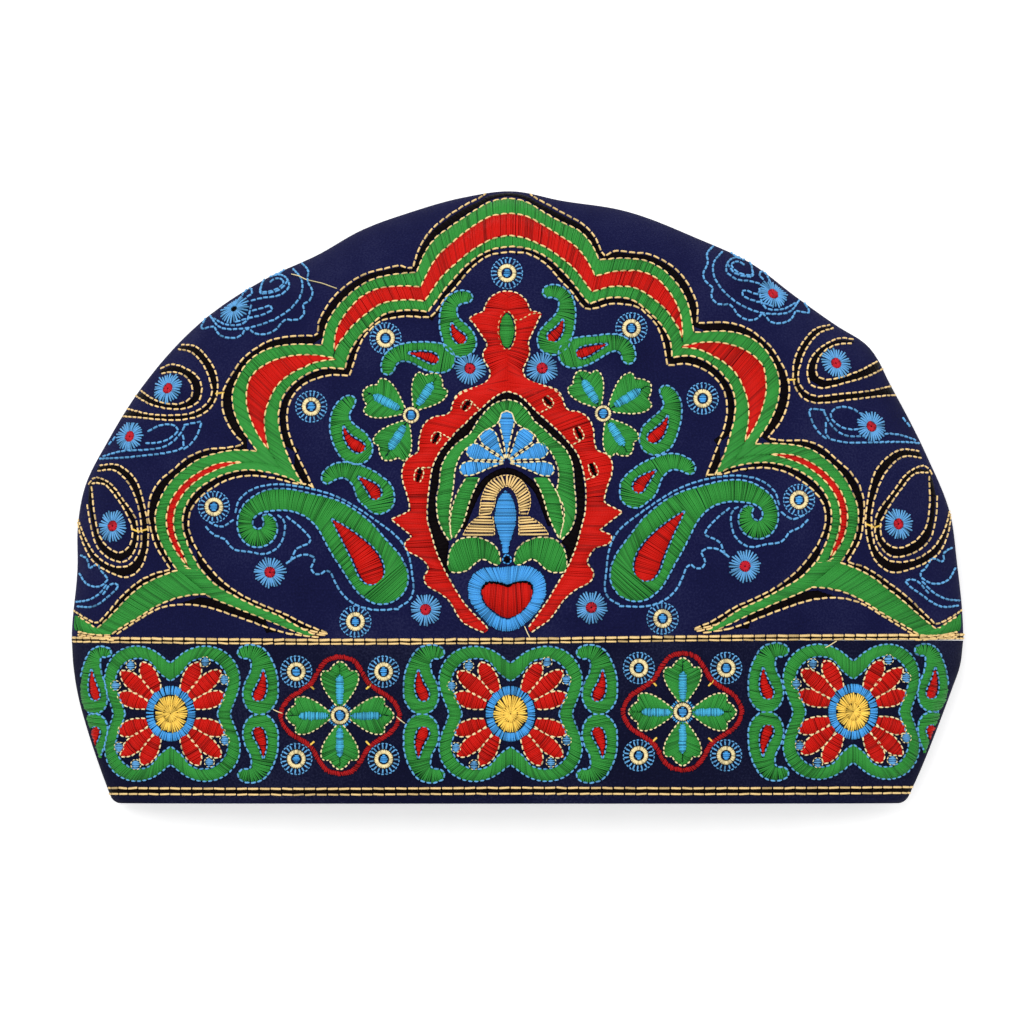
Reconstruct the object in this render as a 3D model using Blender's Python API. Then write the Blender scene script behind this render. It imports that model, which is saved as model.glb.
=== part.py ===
"""An embroidered turban cap lying on its back, its embroidered side up.

The cap is a soft pouch of four sewn pieces: a half-round crown with a plain gathered back, and a
straight head band with a plain elasticated back. Metres, +Z up. The rim, where the head goes in,
faces -Y. The origin is under the middle of the cap, on the surface that it lies on.
"""

import math

import bmesh
import bpy
import numpy as np

# Driving sizes of the whole cap as it lies
CAP_HALF_WIDTH = 0.1385
BAND_HEIGHT = 0.0507
CAP_LENGTH = 0.190
RIM_Y = -CAP_LENGTH / 2
SEAM_Y = RIM_Y + BAND_HEIGHT

# Cloth, hem and the gap that is left along each sewn seam
CLOTH = 0.0016
HEM_EXTRA = 0.0009
HEM_HEIGHT = 0.0050
SEAM_GAP = 0.0003

# The loft of the pouch: height of its side folds, and depth of its front above them
FOLD_HEIGHT = 0.012
RIM_DEPTH = 0.022
SEAM_DEPTH = 0.034
CROWN_LIFT = 0.005
CROWN_LIFT_AT = 0.050
FRONT_SQUARENESS = 2.4
SEAM_DIP = 0.0009
SEAM_DIP_SPREAD = 0.0045

# The edge that rolls under, and how far the front pieces reach round it
ROLL = 0.016
WRAP = 0.009
MOST_WRAP_SHARE = 0.45

# Gathers of the elasticated back
GATHER_COUNT = 9
GATHER_HEIGHT = 0.0024
GATHER_HALF_SPAN = 0.33
GATHER_FADE = 0.058

# Grid counts: columns run across the cap, rows from the rim to the crown's fold
FRONT_COLUMNS = 46
BACK_COLUMNS = 60
CROWN_ROWS = 11
BACK_ROWS = 9
BAND_ROWS = 5
WRAP_ROWS = 3
COLUMN_EVENNESS = 0.55
TINY = 1e-9

# Edge of the crown as it lies, seen from above, round the middle of the crown seam.
# Columns: direction in degrees from +X, radius in metres.
CROWN_EDGE = [
    (0.0, 0.1385),
    (10.3, 0.1387),
    (16.1, 0.1400),
    (24.0, 0.1394),
    (34.0, 0.1402),
    (40.0, 0.1420),
    (44.5, 0.1391),
    (51.0, 0.1372),
    (58.0, 0.1376),
    (66.0, 0.1366),
    (76.0, 0.1373),
    (84.5, 0.1371),
    (90.6, 0.1393),
    (97.0, 0.1384),
    (104.0, 0.1369),
    (111.0, 0.1361),
    (117.2, 0.1347),
    (125.0, 0.1367),
    (134.0, 0.1391),
    (146.0, 0.1406),
    (154.0, 0.1414),
    (160.9, 0.1425),
    (165.5, 0.1411),
    (170.5, 0.1386),
    (180.0, 0.1385),
]

# Half widths of the band. Columns: distance below the crown seam, half width on the left and on
# the right, all in metres.
BAND_EDGE = [
    (0.0000, 0.1385, 0.1385),
    (0.0080, 0.1380, 0.1375),
    (0.0160, 0.1368, 0.1347),
    (0.0280, 0.1336, 0.1302),
    (0.0400, 0.1296, 0.1254),
    (0.0507, 0.1256, 0.1205),
]

# Soft dents and swellings of the front. Columns: x, y, spread and rise above the plain form, all
# in metres.
DENTS = [
    (-0.088, 0.028, 0.020, -0.0030),
    (0.083, 0.034, 0.022, -0.0026),
    (0.030, 0.062, 0.018, -0.0020),
    (-0.034, 0.058, 0.020, 0.0014),
    (-0.052, -0.020, 0.026, 0.0016),
    (0.056, -0.014, 0.024, 0.0018),
    (0.004, -0.070, 0.030, -0.0016),
    (-0.086, -0.066, 0.020, 0.0012),
]

NAVY = (0.012, 0.014, 0.055, 1.0)
BAND_NAVY = (0.010, 0.011, 0.038, 1.0)


def smooth_through(rows, column, at):
    """A cubic curve through one column of a table, read at the values given."""
    table = np.array(rows, float)
    knots, values = table[:, 0], table[:, column]
    slopes = np.gradient(values, knots)
    at = np.clip(np.asarray(at, float), knots[0], knots[-1])
    left = np.clip(np.searchsorted(knots, at, side="right") - 1, 0, len(knots) - 2)
    span = knots[left + 1] - knots[left]
    part = (at - knots[left]) / span
    rise = values[left + 1] - values[left]
    ease = part * part * (3 - 2 * part)
    lead = slopes[left] * span * part * (1 - part) ** 2
    trail = slopes[left + 1] * span * part * part * (1 - part)
    return values[left] + rise * ease + lead - trail


def crown_radius(x, y, inset):
    """Distance from the middle of the crown seam to the crown's edge, in the direction of (x, y)."""
    angle = np.degrees(np.arctan2(np.maximum(y, 0.0), x))
    return smooth_through(CROWN_EDGE, 1, angle) - inset


def band_half_width(x, drop, inset):
    """Half width of the band on the side where x lies, at that distance below the crown seam."""
    left = smooth_through(BAND_EDGE, 1, drop)
    right = smooth_through(BAND_EDGE, 2, drop)
    return np.where(x < 0, left, right) - inset


def front_depth(above):
    """Depth of the front over the side folds along the middle line, at a distance above the seam."""
    below = np.clip(-above / BAND_HEIGHT, 0.0, 1.0)
    lift = CROWN_LIFT * np.sin(0.5 * math.pi * np.clip(above / CROWN_LIFT_AT, 0.0, 1.0))
    dip = SEAM_DIP * np.exp(-((above / SEAM_DIP_SPREAD) ** 2))
    return SEAM_DEPTH + (RIM_DEPTH - SEAM_DEPTH) * below + lift - dip


def dents(x, above):
    """Rise of the soft dents and swellings at a point of the front."""
    total = np.zeros_like(x)
    for centre_x, centre_y, spread, rise in DENTS:
        far = (x - centre_x) ** 2 + (above + SEAM_Y - centre_y) ** 2
        total += rise * np.exp(-far / (2 * spread * spread))
    return total


def front_height(x, above, share, inset):
    """Height of the front; share is 0 on the middle line and 1 at the side fold."""
    full = np.sqrt(1.0 - np.minimum(share, 1.0) ** FRONT_SQUARENESS)
    return FOLD_HEIGHT + (front_depth(above) + dents(x, above) - inset) * full


def gathers(column, above):
    """Rise of the gathers above the flat back; column runs from 0 to 1 across the cap."""
    off_middle = np.abs(column - 0.5) / GATHER_HALF_SPAN
    across = np.clip(1.0 - off_middle**4, 0.0, 1.0)
    fade = np.clip(1.0 - np.maximum(above, 0.0) / GATHER_FADE, 0.0, 1.0) ** 1.5
    waves = 0.5 - 0.5 * np.cos(2 * math.pi * GATHER_COUNT * (column - 0.5) / (2 * GATHER_HALF_SPAN))
    return GATHER_HEIGHT * waves * across * fade


def back_height(from_edge, column, above, inset):
    """Height of the back: flat where it rests, gathered, and rolled up to the side fold."""
    part = np.clip(1.0 - from_edge / (ROLL - inset), 0.0, 1.0)
    rolled = (FOLD_HEIGHT - inset) * (1.0 - np.sqrt(1.0 - part * part))
    return inset + rolled + gathers(column, above) * (1.0 - part)


def crown_lines(columns, inset):
    """Feet on the crown seam and heads on the crown's edge of the lines that the cloth follows."""
    column = np.linspace(0.0, 1.0, columns + 1)
    angle = math.pi * column
    across = COLUMN_EVENNESS * (1 - 2 * column) + (1 - COLUMN_EVENNESS) * np.cos(angle)
    radius = crown_radius(np.cos(angle), np.sin(angle), inset)
    heads = np.stack([radius * np.cos(angle), radius * np.sin(angle)], 1)
    feet = np.stack([across * (CAP_HALF_WIDTH - inset), np.zeros_like(across)], 1)
    return column, feet, heads


def wrap_reach(length):
    """How far the front reaches under on a line of that length: it fades out at the two corners."""
    return WRAP * (1.0 - np.exp(-MOST_WRAP_SHARE * length / WRAP))


def crown_grid(columns, shares, under, inset):
    """Points of the crown on its lines, at shares of each line from foot to head."""
    column, feet, heads = crown_lines(columns, inset)
    length = np.linalg.norm(heads - feet, axis=1)
    rows = []
    for share, is_under in zip(shares, under):
        if is_under:
            part = 1.0 - share * wrap_reach(length) / np.maximum(length, TINY)
            part = np.where(length > TINY, part, 1.0)
        else:
            part = np.full_like(length, share)
        flat = feet + (heads - feet) * part[:, None]
        x, y = flat[:, 0], flat[:, 1]
        radius = crown_radius(x, y, inset)
        share_out = np.minimum(np.hypot(x, y) / radius, 1.0)
        if is_under:
            z = back_height((1 - share_out) * radius, column, y, inset)
        else:
            z = front_height(x, y, share_out, inset)
        rows.append(np.stack([x, y + SEAM_Y + SEAM_GAP / 2, z], 1))
    return np.array(rows)


def crown_back_grid(columns, inset):
    """Points of the crown's back, from the crown seam up to the edge of the wrapped front."""
    column, feet, heads = crown_lines(columns, inset)
    length = np.linalg.norm(heads - feet, axis=1)
    top = 1.0 - (wrap_reach(length) + 2 * SEAM_GAP) / np.maximum(length, TINY)
    rows = []
    for step in np.linspace(0.0, 1.0, BACK_ROWS + 1):
        flat = feet + (heads - feet) * (step * top)[:, None]
        x, y = flat[:, 0], flat[:, 1]
        radius = crown_radius(x, y, inset)
        from_edge = np.maximum(radius - np.hypot(x, y), 0.0)
        z = back_height(from_edge, column, y, inset)
        rows.append(np.stack([x, y + SEAM_Y + SEAM_GAP / 2, z], 1))
    return np.array(rows)[:, 1:-1]


def band_rows():
    """Distances below the crown seam of the band's rows, from the rim up, with one at the hem's top."""
    upper = np.linspace(BAND_HEIGHT - HEM_HEIGHT, SEAM_GAP / 2, BAND_ROWS)
    return np.concatenate([[BAND_HEIGHT], upper])


def band_inset(drop, inset):
    """Thickness of the band's wall: the hem is turned up, so it is thicker near the rim."""
    hem = drop > BAND_HEIGHT - HEM_HEIGHT - TINY
    return inset + np.where(hem and inset > 0, HEM_EXTRA, 0.0)


def band_front_grid(inset):
    """Points of the band's front: wrapped under on the right, over the top, and under on the left."""
    turn = np.linspace(0.0, math.pi, FRONT_COLUMNS + 1)
    under = np.linspace(WRAP, 0.0, WRAP_ROWS + 1)[:-1]
    rows = []
    for drop in band_rows():
        wall = band_inset(drop, inset)
        over_x = np.cos(turn) * band_half_width(np.cos(turn), drop, wall)
        share = np.minimum(np.abs(over_x) / band_half_width(over_x, drop, wall), 1.0)
        over_z = front_height(over_x, -drop, share, wall)
        right = band_half_width(1.0, drop, wall)
        left = band_half_width(-1.0, drop, wall)
        under_z = back_height(under, np.zeros_like(under), -drop, wall)
        x = np.concatenate([right - under, over_x, (under - left)[::-1]])
        z = np.concatenate([under_z, over_z, under_z[::-1]])
        rows.append(np.stack([x, np.full_like(x, SEAM_Y - drop), z], 1))
    return np.array(rows)


def band_back_grid(inset):
    """Points of the band's back, gathered by its elastic, from right to left."""
    part = np.linspace(0.0, 1.0, BACK_COLUMNS + 1)
    rows = []
    for drop in band_rows():
        wall = band_inset(drop, inset)
        right = band_half_width(1.0, drop, wall)
        left = band_half_width(-1.0, drop, wall)
        start = right - WRAP - SEAM_GAP
        end = -(left - WRAP - SEAM_GAP)
        x = start + (end - start) * part
        column = 0.5 - 0.5 * x / band_half_width(x, drop, wall)
        from_edge = band_half_width(x, drop, wall) - np.abs(x)
        z = back_height(from_edge, column, -drop, wall)
        rows.append(np.stack([x, np.full_like(x, SEAM_Y - drop), z], 1))
    return np.array(rows)


def walled(name, outer, inner, colour):
    """One closed piece of cloth from the grids of its two faces."""
    rows, columns = outer.shape[:2]
    number = np.arange(rows * columns).reshape(rows, columns)
    inside = number + rows * columns

    def strips(grid):
        quads = np.stack([grid[:-1, :-1], grid[:-1, 1:], grid[1:, 1:], grid[1:, :-1]], -1)
        return quads.reshape(-1, 4).tolist()

    def rim(a, b):
        return np.stack([a[:-1], a[1:], b[1:], b[:-1]], -1).tolist()

    faces = strips(number) + [face[::-1] for face in strips(inside)]
    faces += rim(inside[0], number[0]) + rim(number[-1], inside[-1])
    faces += rim(number[:, 0], inside[:, 0]) + rim(inside[:, -1], number[:, -1])
    mesh = bpy.data.meshes.new(name)
    points = np.concatenate([outer.reshape(-1, 3), inner.reshape(-1, 3)])
    mesh.from_pydata(points.tolist(), [], faces)
    solid = bmesh.new()
    solid.from_mesh(mesh)
    bmesh.ops.remove_doubles(solid, verts=solid.verts, dist=1e-6)
    bmesh.ops.dissolve_degenerate(solid, edges=solid.edges, dist=1e-7)
    bmesh.ops.triangulate(solid, faces=solid.faces)
    bmesh.ops.recalc_face_normals(solid, faces=solid.faces)
    solid.to_mesh(mesh)
    solid.free()
    mesh.shade_smooth()
    mesh.set_sharp_from_angle(angle=math.radians(50))
    mesh.materials.append(cloth_material(name + "_cloth", colour))
    piece = bpy.data.objects.new(name, mesh)
    bpy.context.scene.collection.objects.link(piece)
    return piece


def cloth_material(name, colour):
    """Matt woven cotton."""
    material = bpy.data.materials.new(name)
    material.use_nodes = True
    surface = material.node_tree.nodes["Principled BSDF"]
    surface.inputs["Base Color"].default_value = colour
    surface.inputs["Roughness"].default_value = 0.85
    surface.inputs["Metallic"].default_value = 0.0
    return material


def crown_front():
    """The embroidered crown, from the crown seam over the front and round its edge."""
    over = np.sin(0.5 * math.pi * np.linspace(0.0, 1.0, CROWN_ROWS + 1))
    under = np.linspace(0.0, 1.0, WRAP_ROWS + 1)[1:]
    shares = np.concatenate([over, under])
    is_under = [False] * len(over) + [True] * len(under)
    outer = crown_grid(FRONT_COLUMNS, shares, is_under, 0.0)
    inner = crown_grid(FRONT_COLUMNS, shares, is_under, CLOTH)
    return walled("crown_front", outer, inner, NAVY)


def crown_back():
    """The plain back of the crown, gathered into the band."""
    outer = crown_back_grid(BACK_COLUMNS, 0.0)
    inner = crown_back_grid(BACK_COLUMNS, CLOTH)
    return walled("crown_back", outer, inner, NAVY)


def main():
    for old in list(bpy.data.objects):
        bpy.data.objects.remove(old, do_unlink=True)
    crown_front()
    crown_back()
    walled("band_front", band_front_grid(0.0), band_front_grid(CLOTH), BAND_NAVY)
    walled("band_back", band_back_grid(0.0), band_back_grid(CLOTH), BAND_NAVY)


main()
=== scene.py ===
"""The looks of an embroidered turban cap: its cloth, and every stitch of its embroidery.

The embroidery is charted on squares, as a worker charts it, and laid on the cap's curved front.
"""

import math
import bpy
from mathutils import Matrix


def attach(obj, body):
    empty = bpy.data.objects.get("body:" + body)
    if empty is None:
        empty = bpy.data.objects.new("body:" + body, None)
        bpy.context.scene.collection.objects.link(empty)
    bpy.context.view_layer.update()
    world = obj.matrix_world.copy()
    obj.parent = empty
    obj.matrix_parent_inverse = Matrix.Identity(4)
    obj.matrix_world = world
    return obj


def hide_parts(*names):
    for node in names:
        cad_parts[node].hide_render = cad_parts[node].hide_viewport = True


bl_info = {
    "name": "Embroidered Cap",
    "version": (1, 0, 0),
    "blender": (4, 5, 0),
    "location": "3D View > Sidebar > Cap",
    "description": "Sews an embroidered turban cap and lays it on a pale table",
    "category": "Add Mesh",
}

import bmesh
import bpy
import numpy as np

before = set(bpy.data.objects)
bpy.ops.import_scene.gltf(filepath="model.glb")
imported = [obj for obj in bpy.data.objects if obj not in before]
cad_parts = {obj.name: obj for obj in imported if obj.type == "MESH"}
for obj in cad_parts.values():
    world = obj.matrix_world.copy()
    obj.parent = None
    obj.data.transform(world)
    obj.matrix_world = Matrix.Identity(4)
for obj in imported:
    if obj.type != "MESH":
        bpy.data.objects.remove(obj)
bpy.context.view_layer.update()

# The form of the cap, as its solids have it, in metres
CAP_HALF_WIDTH = 0.1385
BAND_HEIGHT = 0.0507
CAP_LENGTH = 0.190
RIM_Y = -CAP_LENGTH / 2
SEAM_Y = RIM_Y + BAND_HEIGHT
CLOTH = 0.0016
HEM_EXTRA = 0.0009
HEM_HEIGHT = 0.0050
SEAM_GAP = 0.0003
RIM_CORNER = 0.0022
FOLD_HEIGHT = 0.012
RIM_DEPTH = 0.022
SEAM_DEPTH = 0.034
CROWN_LIFT = 0.005
CROWN_LIFT_AT = 0.050
FRONT_SQUARENESS = 2.4
SEAM_DIP = 0.0009
SEAM_DIP_SPREAD = 0.0045
ROLL = 0.016
WRAP = 0.009
MOST_WRAP_SHARE = 0.45
GATHER_COUNT = 9
GATHER_HEIGHT = 0.0024
GATHER_HALF_SPAN = 0.33
GATHER_FADE = 0.058
GATHER_SQUARENESS = 4
GATHER_FADE_POWER = 1.5
COLUMN_EVENNESS = 0.55
TINY = 1e-9

# Fine creases of the back: how far up they reach, over what distance from the edge they rise and
# at what share of it they begin, their waves per metre, the part of a wave by which they are bent,
# the radians per metre of this bend along x and y, and half their height
CREASE_REACH = 0.075
CREASE_RISE = 0.012
CREASE_START = 0.6
CREASE_WAVES = 210
CREASE_BEND = 0.6
CREASE_BEND_TURN = (40, 60.0)
CREASE_HEIGHT = 0.00022

# Rows of the band's round corner, of its wrap and of the crown's, and how close rows lie at the
# hem's top
CORNER_ROWS = 7
WRAP_ROWS = 7
CROWN_WRAP_ROWS = 9
HEM_LIP = 0.0004
HEM_STEP = 0.0005

# Edge of the crown round the middle of its seam. Columns: direction in degrees, radius.
CROWN_EDGE = [
    (0.0, 0.1385), (10.3, 0.1387), (16.1, 0.1400), (24.0, 0.1394), (34.0, 0.1402),
    (40.0, 0.1420), (44.5, 0.1391), (51.0, 0.1372), (58.0, 0.1376), (66.0, 0.1366),
    (76.0, 0.1373), (84.5, 0.1371), (90.6, 0.1393), (97.0, 0.1384), (104.0, 0.1369),
    (111.0, 0.1361), (117.2, 0.1347), (125.0, 0.1367), (134.0, 0.1391), (146.0, 0.1406),
    (154.0, 0.1414), (160.9, 0.1425), (165.5, 0.1411), (170.5, 0.1386), (180.0, 0.1385),
]

# Half widths of the band. Columns: distance below the seam, half width on the left, on the right.
BAND_EDGE = [
    (0.0000, 0.1385, 0.1385),
    (0.0080, 0.1380, 0.1375),
    (0.0160, 0.1368, 0.1347),
    (0.0280, 0.1336, 0.1302),
    (0.0400, 0.1296, 0.1254),
    (0.0507, 0.1256, 0.1205),
]

# Soft dents and swellings of the front. Columns: x, y, spread, rise.
DENTS = [
    (-0.088, 0.028, 0.020, -0.0030),
    (0.083, 0.034, 0.022, -0.0026),
    (0.030, 0.062, 0.018, -0.0020),
    (-0.034, 0.058, 0.020, 0.0014),
    (-0.052, -0.020, 0.026, 0.0016),
    (0.056, -0.014, 0.024, 0.0018),
    (0.004, -0.070, 0.030, -0.0016),
    (-0.086, -0.066, 0.020, 0.0012),
]

# Fine puckers that the stitching draws into the cloth. Columns: waves per metre along x and y,
# phase, height. Then how far they are bent, and the bend's radians per metre along x and y.
PUCKERS = [
    (46.0, 17.0, 0.4, 0.00016),
    (-29.0, 38.0, 1.9, 0.00014),
    (71.0, -23.0, 3.1, 0.00009),
    (15.0, 83.0, 0.8, 0.00008),
]
PUCKER_BEND = 0.004
PUCKER_BEND_TURN = (31.0, 70.0)

# The chart of the embroidery: the size of one square, and the square where x and y are 0
SQUARE = 0.000311
CHART_X = 517.5
CHART_Y = 497.5
SEAM_MIDDLE = np.array([CHART_X, CHART_Y - SEAM_Y / SQUARE])

# How far apart the points are that give the front's normal
LAY_STEP = 0.0002

# Enlarged parts of the chart. Columns: left, top, enlarged squares to one square.
LEFT_TOP = (50.0, 180.0, 4.48)
LEFT_SIDE = (50.0, 430.0, 4.48)
MIDDLE_TOP = (380.0, 180.0, 5.8074)
MIDDLE = (380.0, 380.0, 6.0308)


def smooth_through(rows, column, at):
    """A cubic curve through one column of a table, read at the values given."""
    table = np.array(rows, float)
    knots, values = table[:, 0], table[:, column]
    slopes = np.gradient(values, knots)
    at = np.clip(np.asarray(at, float), knots[0], knots[-1])
    left = np.clip(np.searchsorted(knots, at, side="right") - 1, 0, len(knots) - 2)
    span = knots[left + 1] - knots[left]
    part = (at - knots[left]) / span
    ease = part * part * (3 - 2 * part)
    lead = slopes[left] * span * part * (1 - part) ** 2
    trail = slopes[left + 1] * span * part * part * (1 - part)
    return values[left] + (values[left + 1] - values[left]) * ease + lead - trail


def crown_radius(x, above, inset):
    """Distance from the middle of the crown seam to the crown's edge, in the direction of a point."""
    angle = np.degrees(np.arctan2(np.maximum(above, 0.0), x))
    return smooth_through(CROWN_EDGE, 1, angle) - inset


def band_half_width(x, drop, inset):
    """Half width of the band on the side where x lies, at a distance below the crown seam.

    At the rim a round corner comes off: its radius less the root of radius squared less the
    squared distance into the corner.
    """
    left = smooth_through(BAND_EDGE, 1, drop)
    right = smooth_through(BAND_EDGE, 2, drop)
    into = np.clip(drop - (BAND_HEIGHT - RIM_CORNER), 0.0, RIM_CORNER)
    corner = RIM_CORNER - np.sqrt(RIM_CORNER**2 - into**2)
    return np.where(x < 0, left, right) - corner - inset


def front_depth(above):
    """Depth over the side folds: rises from rim to seam, lifts on the crown, dips along the seam."""
    below = np.clip(-above / BAND_HEIGHT, 0.0, 1.0)
    lift = CROWN_LIFT * np.sin(0.5 * math.pi * np.clip(above / CROWN_LIFT_AT, 0.0, 1.0))
    dip = SEAM_DIP * np.exp(-((above / SEAM_DIP_SPREAD) ** 2))
    return SEAM_DEPTH + (RIM_DEPTH - SEAM_DEPTH) * below + lift - dip


def dents(x, above):
    """Sum of soft round swellings.

    Each is its rise times e to minus the distance squared over twice its spread squared.
    """
    total = np.zeros_like(x)
    for centre_x, centre_y, spread, rise in DENTS:
        far = (x - centre_x) ** 2 + (above + SEAM_Y - centre_y) ** 2
        total += rise * np.exp(-far / (2 * spread * spread))
    return total


def puckers(x, above):
    """Sum of sine waves over the flat cloth, moved along x by one more sine wave."""
    total = np.zeros_like(x)
    bend_x, bend_y = PUCKER_BEND_TURN
    bend = PUCKER_BEND * np.sin(bend_y * above + bend_x * x)
    for along_x, along_y, phase, height in PUCKERS:
        total += height * np.sin(2 * math.pi * (along_x * (x + bend) + along_y * above) + phase)
    return total


def front_height(x, above, share, inset):
    """Height of the front: full depth times the root of 1 minus share to its power, over the fold."""
    full = np.sqrt(1.0 - np.minimum(share, 1.0) ** FRONT_SQUARENESS)
    rise = front_depth(above) + dents(x, above) + puckers(x, above) - inset
    return FOLD_HEIGHT + rise * full


def gathers(column, above):
    """Rise of the gathers: a row of waves across the back that fades to the sides and upwards."""
    off_middle = np.abs(column - 0.5) / GATHER_HALF_SPAN
    across = np.clip(1.0 - off_middle**GATHER_SQUARENESS, 0.0, 1.0)
    fade = np.clip(1.0 - np.maximum(above, 0.0) / GATHER_FADE, 0.0, 1.0) ** GATHER_FADE_POWER
    waves = 0.5 - 0.5 * np.cos(2 * math.pi * GATHER_COUNT * (column - 0.5) / (2 * GATHER_HALF_SPAN))
    return GATHER_HEIGHT * waves * across * fade


def back_height(from_edge, column, above, inset):
    """Height of the back: a quarter round down from the side fold, then flat with its gathers.

    The round is the fold's height times 1 minus the root of 1 minus the squared share of the way
    from its foot to the edge.
    """
    part = np.clip(1.0 - from_edge / (ROLL - inset), 0.0, 1.0)
    rolled = (FOLD_HEIGHT - inset) * (1.0 - np.sqrt(1.0 - part * part))
    return inset + rolled + gathers(column, above) * (1.0 - part)


def crown_lines(columns, inset):
    """Feet on the seam and heads on the edge of the lines that the crown's cloth follows.

    The heads are at even angles. A foot lies at a mix of even steps and the cosine of that angle.
    """
    column = np.linspace(0.0, 1.0, columns + 1)
    angle = math.pi * column
    across = COLUMN_EVENNESS * (1 - 2 * column) + (1 - COLUMN_EVENNESS) * np.cos(angle)
    radius = crown_radius(np.cos(angle), np.sin(angle), inset)
    heads = np.stack([radius * np.cos(angle), radius * np.sin(angle)], 1)
    feet = np.stack([across * (CAP_HALF_WIDTH - inset), np.zeros_like(across)], 1)
    return column, feet, heads


def wrap_reach(length):
    """How far the front reaches under: the wrap times 1 minus e to minus x.

    Here x is a share of the line's length over the wrap, so short lines reach under less.
    """
    return WRAP * (1.0 - np.exp(-MOST_WRAP_SHARE * length / WRAP))


def crown_grid(columns, rows, inset):
    """Points of the crown: each line from foot to head by its share, then back under by the wrap.

    The shares are the sine of a quarter turn in even steps, so that rows are close at the fold.
    """
    over = np.sin(0.5 * math.pi * np.linspace(0.0, 1.0, rows + 1))
    under = np.linspace(0.0, 1.0, CROWN_WRAP_ROWS)[1:]
    column, feet, heads = crown_lines(columns, inset)
    length = np.linalg.norm(heads - feet, axis=1)
    reach = wrap_reach(length) / np.maximum(length, TINY)
    over_part = over[:, None] * np.ones_like(length)
    under_part = 1.0 - under[:, None] * reach
    part = np.concatenate([over_part, under_part])[:, :, None]
    flat = feet + (heads - feet) * part
    x, above = flat[..., 0], flat[..., 1]
    radius = crown_radius(x, above, inset)
    share = np.minimum(np.hypot(x, above) / radius, 1.0)
    front = front_height(x, above, share, inset)
    back = back_height((1 - share) * radius, column[None, :], above, inset)
    is_over = (np.arange(len(part)) < len(over))[:, None]
    z = np.where(is_over, front, back)
    return np.stack([x, above + SEAM_Y + SEAM_GAP / 2, z], -1)


def crown_back_grid(columns, rows, inset):
    """Points of the crown's back, from the crown seam up to the edge of the wrapped front."""
    column, feet, heads = crown_lines(columns, inset)
    length = np.linalg.norm(heads - feet, axis=1)
    top = 1.0 - (wrap_reach(length) + 2 * SEAM_GAP) / np.maximum(length, TINY)
    step = np.linspace(0.0, 1.0, rows + 1)[:, None]
    flat = feet + (heads - feet) * (step * top)[:, :, None]
    x, above = flat[..., 0], flat[..., 1]
    radius = crown_radius(x, above, inset)
    from_edge = np.maximum(radius - np.hypot(x, above), 0.0)
    z = back_height(from_edge, column[None, :], above, inset) + back_folds(x, above, from_edge)
    grid = np.stack([x, above + SEAM_Y + SEAM_GAP / 2, z], -1)
    return grid[:, 1:-1]


def back_folds(x, above, from_edge):
    """Fine creases between the gathers: waves along x that die out upwards and at the edges."""
    fade = np.clip(1.0 - np.abs(above) / CREASE_REACH, 0.0, 1.0)
    fade = fade * np.clip(from_edge / CREASE_RISE - CREASE_START, 0.0, 1.0)
    bend_x, bend_y = CREASE_BEND_TURN
    bend = CREASE_BEND * np.sin(above * bend_y + x * bend_x)
    return CREASE_HEIGHT * (1.0 + np.sin(2 * math.pi * (x * CREASE_WAVES + bend))) * fade


def band_rows(rows):
    """Distances below the crown seam of the band's rows, close together at the hem's top."""
    hem_top = BAND_HEIGHT - HEM_HEIGHT
    corner = BAND_HEIGHT - RIM_CORNER * np.linspace(0.0, 1.0, CORNER_ROWS) ** 2
    hem = [*corner, hem_top + HEM_LIP, hem_top]
    return np.concatenate([hem, np.linspace(hem_top - HEM_STEP, SEAM_GAP / 2, rows)])


def band_inset(drop, inset):
    """Thickness of the band's wall: the hem is turned up, so it is thicker near the rim."""
    hem = drop > BAND_HEIGHT - HEM_HEIGHT - TINY
    return inset + np.where(hem, HEM_EXTRA if inset > 0 else 0.0, 0.0)


def band_front_grid(columns, rows, inset):
    """Points of the band's front: under on the right, over the top, and under on the left."""
    drop = band_rows(rows)[:, None]
    wall = band_inset(drop, inset)
    turn = np.linspace(0.0, math.pi, columns + 1)[None, :]
    ones = np.ones_like(turn)
    over_x = np.cos(turn) * band_half_width(np.cos(turn) + 0 * drop, drop * ones, wall)
    share = np.minimum(np.abs(over_x) / band_half_width(over_x, drop * ones, wall), 1.0)
    over_z = front_height(over_x, -drop * ones, share, wall)
    under = np.linspace(WRAP, 0.0, WRAP_ROWS)[:-1][None, :]
    under_z = back_height(under, 0.0, -drop, wall)
    right = band_half_width(1.0, drop, wall) - under
    left = under - band_half_width(-1.0, drop, wall)
    x = np.concatenate([right, over_x, left[:, ::-1]], 1)
    z = np.concatenate([under_z, over_z, under_z[:, ::-1]], 1)
    return np.stack([x, SEAM_Y - drop + 0 * x, z], -1)


def band_back_grid(columns, rows, inset):
    """Points of the band's back, gathered by its elastic, from right to left."""
    drop = band_rows(rows)[:, None]
    wall = band_inset(drop, inset)
    start = band_half_width(1.0, drop, wall) - WRAP - SEAM_GAP
    end = WRAP + SEAM_GAP - band_half_width(-1.0, drop, wall)
    x = start + (end - start) * np.linspace(0.0, 1.0, columns + 1)[None, :]
    half = band_half_width(x, drop + 0 * x, wall)
    column = 0.5 - 0.5 * x / half
    from_edge = half - np.abs(x)
    z = back_height(from_edge, column, -drop, wall) + back_folds(x, -drop, from_edge)
    return np.stack([x, SEAM_Y - drop + 0 * x, z], -1)


def unit(vectors, least=TINY):
    """Vectors divided by their lengths, or by the least length where they are shorter."""
    return vectors / np.maximum(np.linalg.norm(vectors, axis=-1, keepdims=True), least)


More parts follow.
